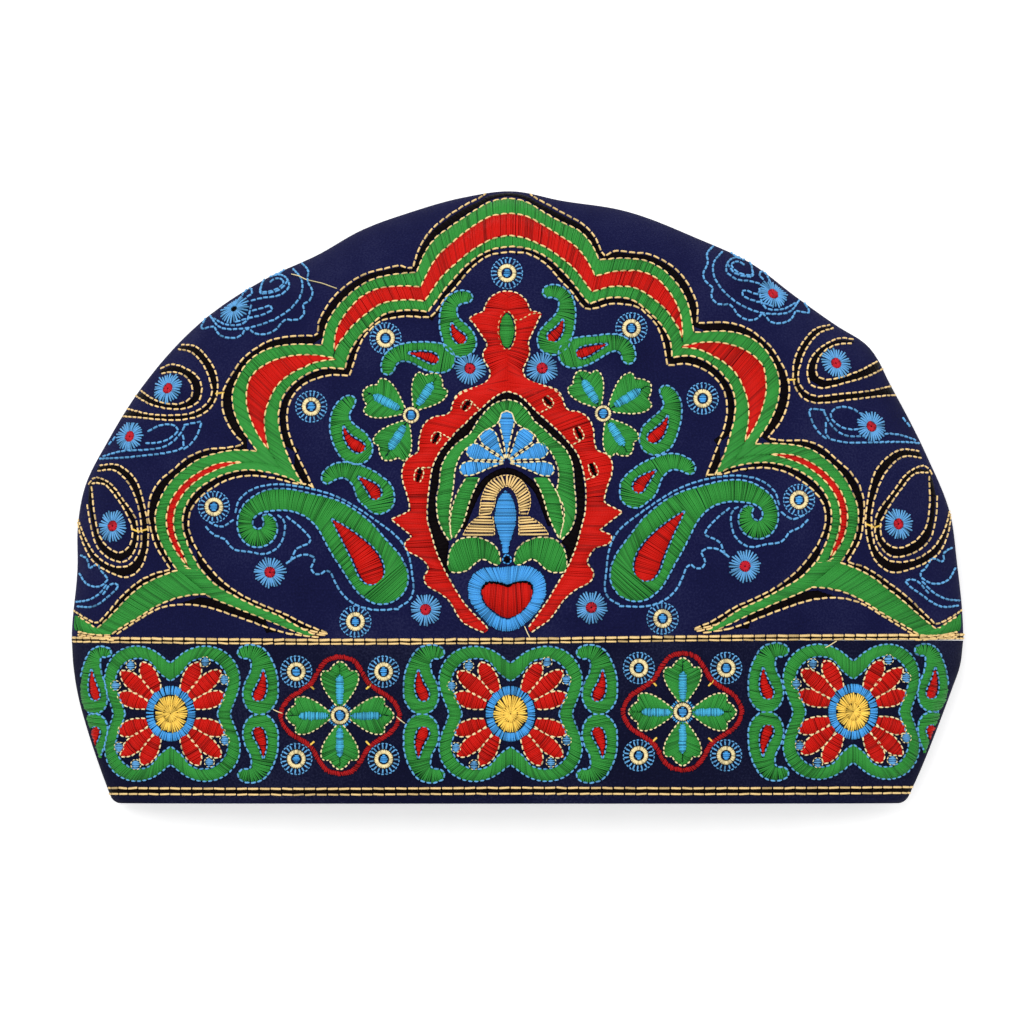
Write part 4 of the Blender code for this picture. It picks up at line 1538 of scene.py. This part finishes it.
class SewMiddle(bpy.types.Operator):
    """Sew what the frame holds: green arch, palmette, ribbed arch, drop, bean leaves and heart"""

    bl_idname = "cap.sew_middle"
    bl_label = "Middle"

    def execute(self, context):
        work = Work("middle", 31)
        for rows in (INNER_ARCH_LEFT, INNER_BRANCH_LEFT, INNER_ARCH_RIGHT, INNER_BRANCH_RIGHT):
            self.sew_green(work, rows)
        for tip_x, tip_y, base_x, base_y, half in PALMETTE:
            tip, base = enlarged(MIDDLE, (tip_x, tip_y), (base_x, base_y))
            petal(work, "blue", base, tip, half / MIDDLE[2], WEDGE_PETAL, "cream")
        for rows in (RIBBED_ARCH, *WINGS):
            satin(work, "tan", *rail_pair(rows), matched=True, pitch=1.85, half=1.1)
            for rail in rail_pair(rows):
                running(work, "tan", rail, step=3.6, filled=1.1, half=0.6, lift=OVER)
        # Painted shade in the hollow under the palmette, a wide flat line of dark stitches
        hollow = spline(enlarged(MIDDLE, *HOLLOW))
        running(work, "dark", hollow, step=6.0, filled=1.3, half=3.0, flat=0.3)
        self.sew_drop(work)
        bean = np.array(BEAN_LEFT, float)
        twin = np.array([2 * BEAN_MIDDLE, 0, 2 * BEAN_MIDDLE, 0]) + bean * (-1, 1, -1, 1)
        for rows in (bean, twin):
            self.sew_green(work, rows)
        satin(work, "blue", spline(HEART_OUTER), spline(HEART_INNER))
        satin(work, "red", spline(HEART_TOP), spline(HEART_FOOT))
        running(work, "dark", spline(HEART_TOP), step=5.0, filled=1.1, half=1.2, lift=OVER)
        # Painted shade between the frame's inner edge and the green arch and bean leaves
        for rows, arch, beans in ((FRAME_LEFT, INNER_ARCH_LEFT, bean),
                                  (FRAME_RIGHT, INNER_ARCH_RIGHT, twin)):
            for edge in (rail_pair(arch)[0], rail_pair(beans)[0][:LOW_BEAN]):
                painted_shade_strip(work, rail_pair(rows)[1], edge, most=17.0)
        return work.sew()

    def sew_green(self, work, rows):
        """Green satin between two rails, with a cream line on each."""
        rails = rail_pair(rows)
        satin(work, "green", *rails, matched=True)
        cream_lines(work, rails)

    def sew_drop(self, work):
        """The blue drop, its axis plus and minus its half width, with a dark eye at its foot."""
        axis, halves = np.array(DROP, float).T
        sides = [spline(np.stack([DROP_X + sign * halves, axis], 1)) for sign in (-1, 1)]
        satin(work, "blue", *[enlarged(MIDDLE, *side) for side in sides], matched=True, keep=1.0)
        eye = enlarged(MIDDLE, DROP_EYE)[0]
        disc(work, "dark", eye, 3.4, loft=HIGH)
        running(work, "blue", ring_of(eye, 4.6), step=4.0, filled=1.0, half=0.9, lift=OVER)


# Leaf flowers. Each: centre, and the tips of its leaves.
LEAF_FLOWERS = [
    ((411.5, 415.6), [(439.4, 374.6), (363.6, 390.9), (384, 460.5)]),
    ((602.7, 414.0), [(577, 372), (650, 384), (629, 456)]),
]
# How far from the centre a leaf begins, its half width as a share of its length, and the vein's
# ends as shares of the way to the tip, with its half width
LEAF_FOOT = 8.0
LEAF_HALF = 0.37
LEAF_VEIN = (0.24, 0.78)
LEAF_VEIN_HALF = 4.9
# Centres of the wheels and of the rosettes
WHEELS = [(386, 339), (312, 407), (215, 507), (356, 621), (507, 274), (631, 329), (702, 399),
          (798, 500), (662, 618)]
ROSETTES = [(470, 369), (542, 369), (426, 609), (591, 607), (271, 572), (744, 566), (169, 389),
            (131, 437), (114, 526), (835, 364), (870, 427), (772, 295), (897, 524)]
DARK_ROSETTES = [(235, 310)]


class SewFlowers(bpy.types.Operator):
    """Sew the leaf flowers, the wheels and the rosettes of the crown"""

    bl_idname = "cap.sew_flowers"
    bl_label = "Flowers"

    def execute(self, context):
        work = Work("flowers", 41)
        for centre, tips in LEAF_FLOWERS:
            middle = np.array(centre)
            for tip in tips:
                way = np.array(tip) - middle
                long = np.linalg.norm(way)
                leaf(work, middle + way / long * LEAF_FOOT, tip, LEAF_HALF * long)
                foot, head = [middle + way * share for share in LEAF_VEIN]
                petal(work, "cyan", foot, head, LEAF_VEIN_HALF, ROUND_BAR, loft=HIGH)
            radial(work, "cream", centre, *FLOWER_RING)
            disc(work, "blue", centre, FLOWER_DISC)
        for centre in WHEELS:
            wheel(work, centre)
        for centre in ROSETTES:
            rosette(work, centre)
        for centre in DARK_ROSETTES:
            rosette(work, centre, "dark", core=DARK_ROSETTE_CORE)
        return work.sew()


# Small paisleys of the left half. Each: spine, half widths, the drop's axis and its half width.
PAISLEYS = [
    ([(473, 299.5), (461, 298), (451, 305), (448.7, 315), (451, 326.4), (456.5, 336), (461, 345),
      (463, 358)], [6, 6.6, 7.4, 9.8, 14, 17, 16.5],
     [(451.5, 322.5), (455, 333), (465.5, 344)], 5.0),
    ([(389, 376), (388.5, 369), (391.2, 360), (398.5, 354.5), (409.3, 353), (420, 354.5),
      (431.7, 357.7), (443, 360), (455.2, 362)], [6.8, 7.4, 8.2, 10.5, 14, 15, 14],
     [(407.5, 353.4), (424, 356.2), (439.5, 361.5)], 4.6),
    ([(356.4, 399.2), (349.3, 403.2), (343, 410.4), (340.8, 418.4), (342.1, 427.3),
      (346.6, 436.3), (352.9, 444.3), (360, 451.4), (368.9, 460.4)],
     [6, 7.8, 9.4, 13, 16.6, 17.8, 16],
     [(344, 425.5), (348, 437), (355.5, 445.2), (366, 450.5)], 5.4),
    ([(328.3, 484.5), (328.5, 478.5), (335.9, 472), (345.7, 470.2), (355.5, 473.8),
      (365.4, 480.9), (371.6, 488.9), (378.3, 497), (382.3, 513.9)],
     [6.5, 7.5, 8.3, 11.5, 16.5, 17.8, 16],
     [(358, 476.5), (368, 484.5), (375, 491.2), (377.5, 500)], 5.6),
]
# The big paisley in the same way, with the line round it, and the vines
BIG_PAISLEY = enlarged(
    LEFT_SIDE, (955, 386), (985, 402), (992, 440), (970, 475), (930, 486), (890, 462), (878, 415),
    (896, 365), (950, 328), (1050, 312), (1150, 332), (1250, 380), (1350, 480), (1420, 570),
    (1490, 660), (1568, 748))
BIG_HALVES = [15, 35, 40, 34, 38, 48, 48, 52, 72, 95, 112, 118, 125, 125, 120]
BIG_DROP = enlarged(LEFT_SIDE, (1262, 395), (1350, 490), (1425, 590), (1462, 692))
BIG_DROP_HALF = 12.6
BIG_LINE = enlarged(
    LEFT_SIDE, (835, 375), (848, 320), (900, 272), (1000, 245), (1130, 256), (1290, 300), (1400, 362),
    (1490, 425), (1545, 467), (1590, 519), (1614, 578), (1625, 653), (1631, 705), (1616, 757),
    (1560, 795))
VINES = [
    [(715, 410), (770, 435), (830, 400)],
    [(700, 430), (740, 470), (790, 490), (820, 530), (900, 545), (970, 555), (1030, 520),
     (1055, 460), (1050, 400), (1020, 380)],
    [(1060, 385), (1130, 440), (1175, 500), (1110, 530), (1080, 590)],
    [(1060, 600), (1110, 565), (1170, 560), (1195, 580), (1170, 610), (1200, 650), (1250, 625),
     (1280, 680), (1310, 730), (1370, 780), (1430, 800), (1568, 800)],
]


class SewPaisleys(bpy.types.Operator):
    """Sew the paisleys and the vines that run from them"""

    bl_idname = "cap.sew_paisleys"
    bl_label = "Paisleys"

    def execute(self, context):
        work = Work("paisleys", 51)
        big = (BIG_PAISLEY, [half / LEFT_SIDE[2] for half in BIG_HALVES], BIG_DROP, BIG_DROP_HALF)
        for spine, halves, drop, drop_half in PAISLEYS + [big]:
            for side in (0, 1):
                paisley(work, both_sides(spine)[side], halves, both_sides(drop)[side], drop_half)
        for line in [BIG_LINE] + [enlarged(LEFT_SIDE, *vine) for vine in VINES]:
            for path in both_sides(spline(line)):
                running(work, "sky", path, step=6.6, filled=0.95, half=1.15)
        return work.sew()


# Teardrops and round flowers of single lines at the sides. A teardrop's lines come in pairs, with
# painted shade of flat dark stitches between them.
TEARDROPS_LOW = [
    [(190, 240), (240, 240), (300, 300), (350, 380), (375, 450), (360, 520), (320, 550),
     (270, 530), (230, 480), (205, 380), (190, 250)],
    [(175, 250), (200, 215), (260, 230), (330, 310), (390, 400), (400, 470), (385, 540),
     (340, 590), (280, 580), (220, 530), (190, 440), (170, 330)],
    [(215, 185), (290, 180), (350, 230), (390, 310), (415, 450), (400, 560), (350, 610),
     (290, 610), (220, 570), (170, 500), (130, 400)],
    [(225, 160), (300, 155), (370, 200), (430, 350), (445, 450), (440, 540), (410, 620),
     (350, 660), (280, 640), (200, 590), (150, 500), (125, 400)],
]
TEARDROPS_HIGH = [
    [(500, 870), (560, 862), (610, 880), (640, 925), (640, 970), (600, 1000), (540, 1005),
     (470, 985), (410, 945)],
    [(495, 850), (540, 828), (610, 845), (670, 890), (685, 945), (665, 1000), (610, 1025),
     (530, 1025), (450, 1005), (375, 960)],
    [(575, 760), (630, 770), (690, 830), (720, 900), (730, 960), (700, 1010), (640, 1045),
     (560, 1055), (450, 1050), (345, 1025)],
    [(590, 740), (650, 745), (710, 800), (745, 860), (755, 940), (740, 1000), (690, 1050),
     (600, 1075), (500, 1075), (400, 1065), (325, 1060)],
]
PEONY_LINES_TOP = [
    [(1130, 375), (1160, 410), (1155, 450), (1180, 510), (1165, 545), (1135, 560), (1145, 600),
     (1110, 630), (1050, 630), (1020, 670), (960, 695), (920, 690), (885, 665), (860, 700),
     (800, 710), (755, 690), (740, 660), (680, 670), (700, 620)],
    [(1090, 400), (1130, 450), (1130, 510), (1100, 560), (1040, 610), (950, 650), (850, 670),
     (760, 660), (720, 610)],
    [(1000, 420), (1060, 440), (1075, 480), (1030, 520), (960, 530), (900, 545)],
    [(950, 480), (940, 510), (980, 510), (1040, 490), (1070, 450)],
    [(905, 590), (960, 575), (990, 565), (1000, 580), (960, 605), (900, 620), (830, 640)],
    [(440, 1130), (500, 1100), (560, 1100), (580, 1115), (540, 1160), (470, 1180), (430, 1180)],
    [(600, 1100), (650, 1090), (680, 1080), (670, 1130), (640, 1180), (600, 1210)],
    [(240, 1240), (330, 1215), (430, 1210), (520, 1195), (580, 1150), (610, 1100)],
    [(225, 1250), (330, 1245), (430, 1235), (540, 1220), (600, 1200), (600, 1140)],
    [(265, 1190), (300, 1150)],
    [(1062, 398), (1015, 430), (965, 446), (948, 480), (946, 512)],
    [(985, 462), (1025, 442), (1052, 460), (1034, 482), (990, 502), (952, 506)],
    [(852, 540), (872, 506), (902, 488), (908, 512), (882, 528)],
    [(905, 560), (880, 640), (790, 650), (735, 622)],
]
PEONY_LINES_LOW = [
    [(140, 560), (175, 580), (180, 620), (215, 600), (240, 640), (265, 665), (230, 700),
     (170, 690), (135, 640)],
    [(120, 770), (180, 760), (230, 730), (260, 690)],
    [(125, 790), (200, 790), (260, 750), (310, 690), (290, 685), (240, 740)],
]
# All of them. Columns: thread, part of the chart, lines, step, stitch as a share of the step, half
# width. Then the short yellow ties.
SIDE_LINES = [
    ("gold", LEFT_SIDE, TEARDROPS_LOW, 7.6, 0.88, 0.95),
    ("gold", LEFT_TOP, TEARDROPS_HIGH, 7.6, 0.88, 0.95),
    ("sky", LEFT_TOP, PEONY_LINES_TOP, 6.6, 0.95, 1.12),
    ("sky", LEFT_SIDE, PEONY_LINES_LOW, 6.6, 0.95, 1.12),
]
YELLOW_TIES = [[(131.5, 528.5), (139.5, 531.5)], [(139, 531.5), (150.5, 529)],
               [(215, 394), (226, 393)]]


class SewSideLines(bpy.types.Operator):
    """Sew the teardrops and round flowers of single lines at the sides of the crown"""

    bl_idname = "cap.sew_side_lines"
    bl_label = "Side Lines"

    def execute(self, context):
        work = Work("sides", 61)
        for colour, chart, lines, step, filled, half in SIDE_LINES:
            for line in lines:
                for path in both_sides(spline(enlarged(chart, *line))):
                    running(work, colour, path, step=step, filled=filled, half=half)
        # Painted shade between the two lines of each teardrop
        for chart, lines in ((LEFT_SIDE, TEARDROPS_LOW), (LEFT_TOP, TEARDROPS_HIGH)):
            for inner, outer in zip(lines[::2], lines[1::2]):
                sides = [both_sides(spline(enlarged(chart, *line))) for line in (inner, outer)]
                for path, edge in zip(*sides):
                    painted_shade_strip(work, path, edge, most=11.0)
        for tie in YELLOW_TIES:
            for path in both_sides(tie):
                running(work, "yellow", path, step=9.0, filled=0.95)
        return work.sew()


# The head band's repeat. Framed flowers, columns: centre on the chart, how far the paisleys beside
# it lie off centre, and shares of the distance and of the width of those at the side fold.
BAND_FLOWERS = [
    ((171.8, 713), 3.2, 0.965, 0.78),
    ((510.5, 713), 0.0, 1.0, 1.0),
    ((852, 711), 0.0, 1.0, 0.86),
]
# How far from the middle of the chart a paisley counts as at the side fold
AT_FOLD = 380.0
# Centres of the crossed leaves
BAND_CROSSES = [(340.5, 714.6), (682, 711)]
# A quarter of the four-lobed frame from its flower's centre: outer and inner edge, y upwards
QUARTER_OUTER = [(0, 50.5), (-4, 53.5), (-18.7, 63.5), (-34, 67.3), (-49.3, 65), (-61.5, 57.4),
                 (-69, 46.7), (-71.5, 36), (-70.8, 26.8), (-66.8, 14.5), (-63, 5), (-61.5, 0)]
QUARTER_INNER = [(0, 32.5), (-4, 35), (-12.6, 42.1), (-20.2, 51.3), (-31, 55.1), (-43, 53.6),
                 (-51.3, 48.2), (-57.6, 39), (-58.8, 28.3), (-55.4, 19.1), (-51, 8.4),
                 (-48, -0.8)]
# Petals of the framed flower: how far their tips lie from the centre, and the direction. Then how
# far their feet lie from it, and their half width.
BAND_PETALS = [(60, 120.5), (68.5, 141.5), (60.5, 161.5), (60, 59.5), (68.5, 39.5), (60.5, 18.5)]
PETAL_FOOT = 26.0
PETAL_HALF = 8.2
# Its rings, each inner and outer radius, from the outside in, and how much taller than wide
BLUE_RING = (16.6, 25.2)
YELLOW_RING = (7.0, 16.8)
YELLOW_MIDDLE = (0.2, 9.6)
BLUE_TALL = 1.12
YELLOW_TALL = 1.16
# Dots round the flower, their radius and that of the line round them
DOT_RADIUS = 4.4
DOT_LINE = 5.2
BAND_DOTS = [(-41.6, 48.2), (-58.5, 28.2), (36.4, 52), (55.6, 34.4), (-54.5, -33.2),
             (-36.4, -50.5), (40.6, -48), (56, -26)]
# The band's paisley, y upwards from the flower's centre: spine, half widths, drop's axis and half
# width, and the points that its spine is carried to the band with
BAND_PAISLEY = [(66, 58.5), (76.4, 62), (86.6, 58.5), (90.8, 48.2), (91.8, 37.5), (89.9, 26.8),
                (87.6, 11.5), (85.6, 0)]
BAND_PAISLEY_HALVES = [6, 7.2, 9.8, 13.4, 17.0, 17.6, 16.6]
BAND_DROP = [(92, 45.5), (91, 30), (84.5, 12.5)]
BAND_DROP_HALF = 5.3
SPINE_KNOTS = 15
# The crossed leaves: foot and tip of a leaf and of its vein from the centre, with their half
# widths, then the rings and the disc in the middle
CROSS_LEAF = (9.0, 54.3)
CROSS_LEAF_HALF = 18.6
CROSS_VEIN = (12.0, 41.0)
CROSS_VEIN_HALF = 4.4
CROSS_SPOKES = (9.5, 13.0)
CROSS_RING = (5.2, 9.6)
CROSS_DISC = 4.6
# A quarter of the twisted loop through the crossed leaves, y upwards, the wheels' offset both ways,
# and the ends of the yellow ties as shares of the way there
ROPE_QUARTER = [(0, 58.5), (-12, 55.5), (-20.5, 46), (-28.3, 32.5), (-39, 24.5), (-51, 16.5),
                (-58, 6), (-59.5, 0)]
CROSS_WHEELS = 43.6
TIE_SHARES = (0.58, 0.74)


# The table of the band's arc length: half its width, and its rows
BAND_TABLE_HALF = 0.1384
BAND_TABLE_ROWS = 2001


def band_place(centre, points):
    """Points round a centre on the band, measured along the cloth.

    The offset across is a length on the curved cloth, read back to flat squares from a table of
    the band's own arc length.
    """
    points = np.asarray(points, float)
    x = np.linspace(-BAND_TABLE_HALF, BAND_TABLE_HALF, BAND_TABLE_ROWS)
    level = (CHART_Y - centre[1]) * SQUARE
    path = on_front(x, np.full_like(x, level))
    arc = lengths(path) / SQUARE
    flat = x / SQUARE + CHART_X
    start = np.interp(centre[0], flat, arc)
    across = np.interp(start + points[..., 0], arc, flat)
    return np.stack([across, centre[1] - points[..., 1]], -1)


def four_ways(points):
    """A motif and its three mirror images, left and right, above and below."""
    points = np.asarray(points, float)
    return [points * np.array(way) for way in ((1, 1), (-1, 1), (-1, -1), (1, -1))]


# Points along the twisted loop, and how many of its quarter's first points it runs over again
ROPE_POINTS = 400
ROPE_OVERLAP = 6


def rope(work, colour, path, half=2.7, slant=3.4):
    """A twisted line: short satin across a path, each thread leaning forwards."""
    path = even(path, ROPE_POINTS)
    shift = max(int(slant / (lengths(path)[-1] / (ROPE_POINTS - 1))), 1)
    satin(work, colour, offset(path, half)[:-shift], offset(path, -half)[shift:], matched=True,
          pitch=1.25, half=1.1)


class SewBand(bpy.types.Operator):
    """Sew the head band: framed flowers with paisleys, and crossed leaves with wheels"""

    bl_idname = "cap.sew_band"
    bl_label = "Head Band"

    def execute(self, context):
        for number, flower in enumerate(BAND_FLOWERS):
            work = Work("band_flower_%d" % (number + 1), 71 + number)
            self.sew_flower(work, *flower)
            work.sew()
        work = Work("band_cross", 81)
        for centre in BAND_CROSSES:
            self.sew_cross(work, centre)
        return work.sew()

    def sew_flower(self, work, centre, aside, near, narrow):
        """A framed flower: frame, four paisleys, petals, dots and a yellow middle in a blue ring."""
        def place(points, across=0.0):
            return band_place(centre, np.asarray(points, float) + np.array([across, 0.0]))

        for outer, inner in zip(four_ways(spline(QUARTER_OUTER)), four_ways(spline(QUARTER_INNER))):
            satin(work, "green", place(outer), place(inner))
            for edge in (outer, inner):
                running(work, "sky", place(edge), step=6.0, lift=OVER)
        for spine, drop in zip(four_ways(BAND_PAISLEY), four_ways(BAND_DROP)):
            at_fold = abs(centre[0] - CHART_X + spine[0][0]) > AT_FOLD
            across, wide = (near, narrow) if at_fold else (1.0, 1.0)
            off = 0.0 if at_fold else aside
            halves = [half * wide for half in BAND_PAISLEY_HALVES]
            spine = even(place(spline(spine * (across, 1)), off), SPINE_KNOTS)
            paisley(work, spine, halves, place(drop * (across, 1), off), BAND_DROP_HALF * wide)
        for far, degrees in BAND_PETALS:
            for way in (1.0, -1.0):
                angle = math.radians(degrees) * way
                ray = np.array([math.cos(angle), math.sin(angle)])
                base, tip = place(np.stack([ray * PETAL_FOOT, ray * far]))
                petal(work, "red", base, tip, PETAL_HALF, OVAL_PETAL, "cream")
        for dot in BAND_DOTS:
            spot = place(np.array(dot))
            disc(work, "sky", spot, DOT_RADIUS, loft=HIGH)
            running(work, "cream", ring_of(spot, DOT_LINE), step=4.4, half=0.6, lift=OVER * 2)
        middle = place(np.zeros(2))
        radial(work, "blue", middle, *BLUE_RING, tall=BLUE_TALL)
        radial(work, "yellow", middle, *YELLOW_RING, pitch=1.1, ragged=1.5, tall=YELLOW_TALL)
        radial(work, "yellow", middle, *YELLOW_MIDDLE, pitch=0.9, ragged=2.2, tall=YELLOW_TALL)

    def sew_cross(self, work, centre):
        """Crossed leaves: four leaves with veins, a round middle, the twisted loop and four wheels."""
        def place(points):
            return band_place(centre, points)

        for ray in ((0, 1), (1, 0), (0, -1), (-1, 0)):
            (base, tip), (foot, head) = [place(np.outer(ends, ray)) for ends in (CROSS_LEAF, CROSS_VEIN)]
            leaf(work, base, tip, CROSS_LEAF_HALF)
            petal(work, "cyan", foot, head, CROSS_VEIN_HALF, ROUND_BAR, loft=HIGH)
        middle = place(np.zeros(2))
        radial(work, "blue", middle, *CROSS_SPOKES, pitch=1.6, ragged=0.6)
        radial(work, "cream", middle, *CROSS_RING)
        disc(work, "blue", middle, CROSS_DISC)
        upper, lower = spline(ROPE_QUARTER), spline(ROPE_QUARTER)[::-1]
        rope(work, "wine", place(np.concatenate([
            upper, lower * (1, -1), upper * (-1, -1), lower * (-1, 1), upper[:ROPE_OVERLAP]])))
        for corner in four_ways([(CROSS_WHEELS, CROSS_WHEELS)]):
            wheel(work, place(corner[0]))
            tie = corner[0] * np.array(TIE_SHARES)[:, None]
            running(work, "yellow", place(tie), step=9.0, filled=0.95)


# Pairs of gold lines along the seam and the hem. Columns: the upper line, how far below it the
# lower lies, half width of the upper. Then the points from one point of a line to the next.
LINE_PAIRS = [
    ([(60, 637.5), (340, 639.5), (517, 638.5), (700, 636), (970, 634.5)], 3.8, 1.35),
    ([(80, 787.5), (340, 788.0), (517, 787.0), (700, 787.5), (940, 786.5)], 5.8, 1.1),
]
SEAM_STEPS = 40
# Loose ends of thread that were never cut off
LOOSE_ENDS = [[(285, 273), (310, 281.5), (338, 289.5)], [(524, 625), (531, 639)],
              [(819, 650), (836, 640)], [(273.5, 708), (284, 713)], [(396, 715), (406, 723)]]


class SewSeamLines(bpy.types.Operator):
    """Sew the pairs of gold lines along the crown seam and along the hem"""

    bl_idname = "cap.sew_seam_lines"
    bl_label = "Seam Lines"

    def execute(self, context):
        work = Work("seams", 12)
        for line, apart, thick in LINE_PAIRS:
            upper, lower = [spline(np.array(line) + (0.0, down), steps=SEAM_STEPS)
                            for down in (0.0, apart)]
            running(work, "gold", upper, step=11.4, filled=0.98, half=thick)
            running(work, "gold", lower, step=11.4, filled=0.98)
            # Painted shade between the upper and the lower gold line
            painted_shade_strip(work, upper, lower, spare=0.2)
        for ends in LOOSE_ENDS:
            running(work, "cream", spline(ends), step=30.0, filled=1.0, half=0.5, lift=0.0008)
        return work.sew()


class SetStage(bpy.types.Operator):
    """Set the pale table, the soft lights and the camera straight above the cap"""

    bl_idname = "cap.set_stage"
    bl_label = "Stage"

    def execute(self, context):
        self.lay_table()
        for lamp in LAMPS:
            self.hang_lamp(*lamp)
        self.light_world(context.scene)
        self.set_camera(context.scene)
        context.scene.view_settings.view_transform = "Standard"
        return {"FINISHED"}

    def lay_table(self):
        """A square of pale paper just below the cap."""
        corners = np.array([(-1, -1, 0), (1, -1, 0), (1, 1, 0), (-1, 1, 0)], float) * TABLE_HALF
        corners[:, 2] = -TABLE_DROP
        table = linked("table", triangle_mesh("table", corners, np.array([(0, 1, 2), (0, 2, 3)])))
        table.data.materials.append(table_material())

    def hang_lamp(self, name, place, turn, power, width):
        """A square soft lamp at its place, turned by three angles."""
        lamp = bpy.data.lights.new(name, "AREA")
        lamp.energy = power
        lamp.size = width
        lit = linked(name, lamp)
        lit.location = place
        lit.rotation_euler = [math.radians(angle) for angle in turn]

    def light_world(self, scene):
        """Even white light from all round."""
        world = bpy.data.worlds.new("studio")
        world.use_nodes = True
        sky = world.node_tree.nodes["Background"]
        sky.inputs["Color"].default_value = WHITE
        sky.inputs["Strength"].default_value = WORLD_STRENGTH
        scene.world = world

    def set_camera(self, scene):
        """A camera straight above: sensor times height over the picture's width is its length."""
        camera = bpy.data.cameras.new("camera")
        camera.sensor_width = SENSOR_WIDTH
        camera.lens = camera.sensor_width * CAMERA_HEIGHT / (IMAGE_SQUARES * SQUARE)
        seen = linked("camera", camera)
        middle = IMAGE_SQUARES / 2
        seen.location = ((middle - CHART_X) * SQUARE, (CHART_Y - middle) * SQUARE, CAMERA_HEIGHT)
        scene.camera = seen


# The photographer's set: squares across the picture, the camera's height and its sensor in
# millimetres, light of the surroundings, the table's half width, its drop below the cap and its
# glow. Lamps: name, place, turn in degrees, power, width.
IMAGE_SQUARES = 1024
CAMERA_HEIGHT = 12.0
SENSOR_WIDTH = 36.0
WORLD_STRENGTH = 0.64
TABLE_HALF = 6.0
TABLE_DROP = 0.0002
TABLE_GLOW = 0.42
WHITE = (1.0, 1.0, 1.0, 1.0)
LAMPS = [
    ("key_lamp", (-0.55, 0.80, 2.0), (-21.8, -15.4, 0.0), 25.0, 1.4),
    ("fill_lamp", (0.80, 0.20, 2.0), (-5.7, 21.8, 0.0), 10.0, 1.8),
]


def table_material():
    """Pale, faintly mottled paper, lit a little from below as on a light table."""
    material, add, surface = new_material("table_paper")
    place = add("ShaderNodeTexCoord", {}).outputs["Object"]
    grain = add("ShaderNodeTexNoise", {"Vector": place, "Scale": 90.0}).outputs["Fac"]
    colour = shades(add, grain, [(0.3, (0.90, 0.90, 0.90)), (0.7, (0.93, 0.93, 0.93))])
    surface({"Base Color": colour, "Roughness": 0.9, "Emission Color": WHITE,
             "Emission Strength": TABLE_GLOW})
    return material


STEPS = [SetStage, CutCloth, SewArch, SewFrame, SewMiddle, SewFlowers, SewPaisleys, SewSideLines,
         SewBand, SewSeamLines]
GROUPS = [CapColours, CapSizes]


class CapPanel(bpy.types.Panel):
    """The steps of the cap, in the order in which they are made"""

    bl_idname = "VIEW3D_PT_cap"
    bl_label = "Embroidered Cap"
    bl_space_type = "VIEW_3D"
    bl_region_type = "UI"
    bl_category = "Cap"

    def draw(self, context):
        for step in STEPS:
            self.layout.operator(step.bl_idname)
        for group, holder in ((CapSizes, sizes()), (CapColours, colours())):
            for name in group.__annotations__:
                self.layout.prop(holder, name)


def register():
    """Registers the classes, and hangs the colours and sizes on the scene."""
    for kind in GROUPS + STEPS + [CapPanel]:
        bpy.utils.register_class(kind)
    bpy.types.Scene.cap_colours = bpy.props.PointerProperty(type=CapColours)
    bpy.types.Scene.cap_sizes = bpy.props.PointerProperty(type=CapSizes)


def unregister():
    """Takes everything away again that register made known."""
    del bpy.types.Scene.cap_sizes
    del bpy.types.Scene.cap_colours
    for kind in reversed(GROUPS + STEPS + [CapPanel]):
        bpy.utils.unregister_class(kind)


def main():
    """Makes the cap step by step."""
    register()
    for step in STEPS:
        group, name = step.bl_idname.split(".")
        getattr(getattr(bpy.ops, group), name)()


if __name__ == "__main__":
    main()
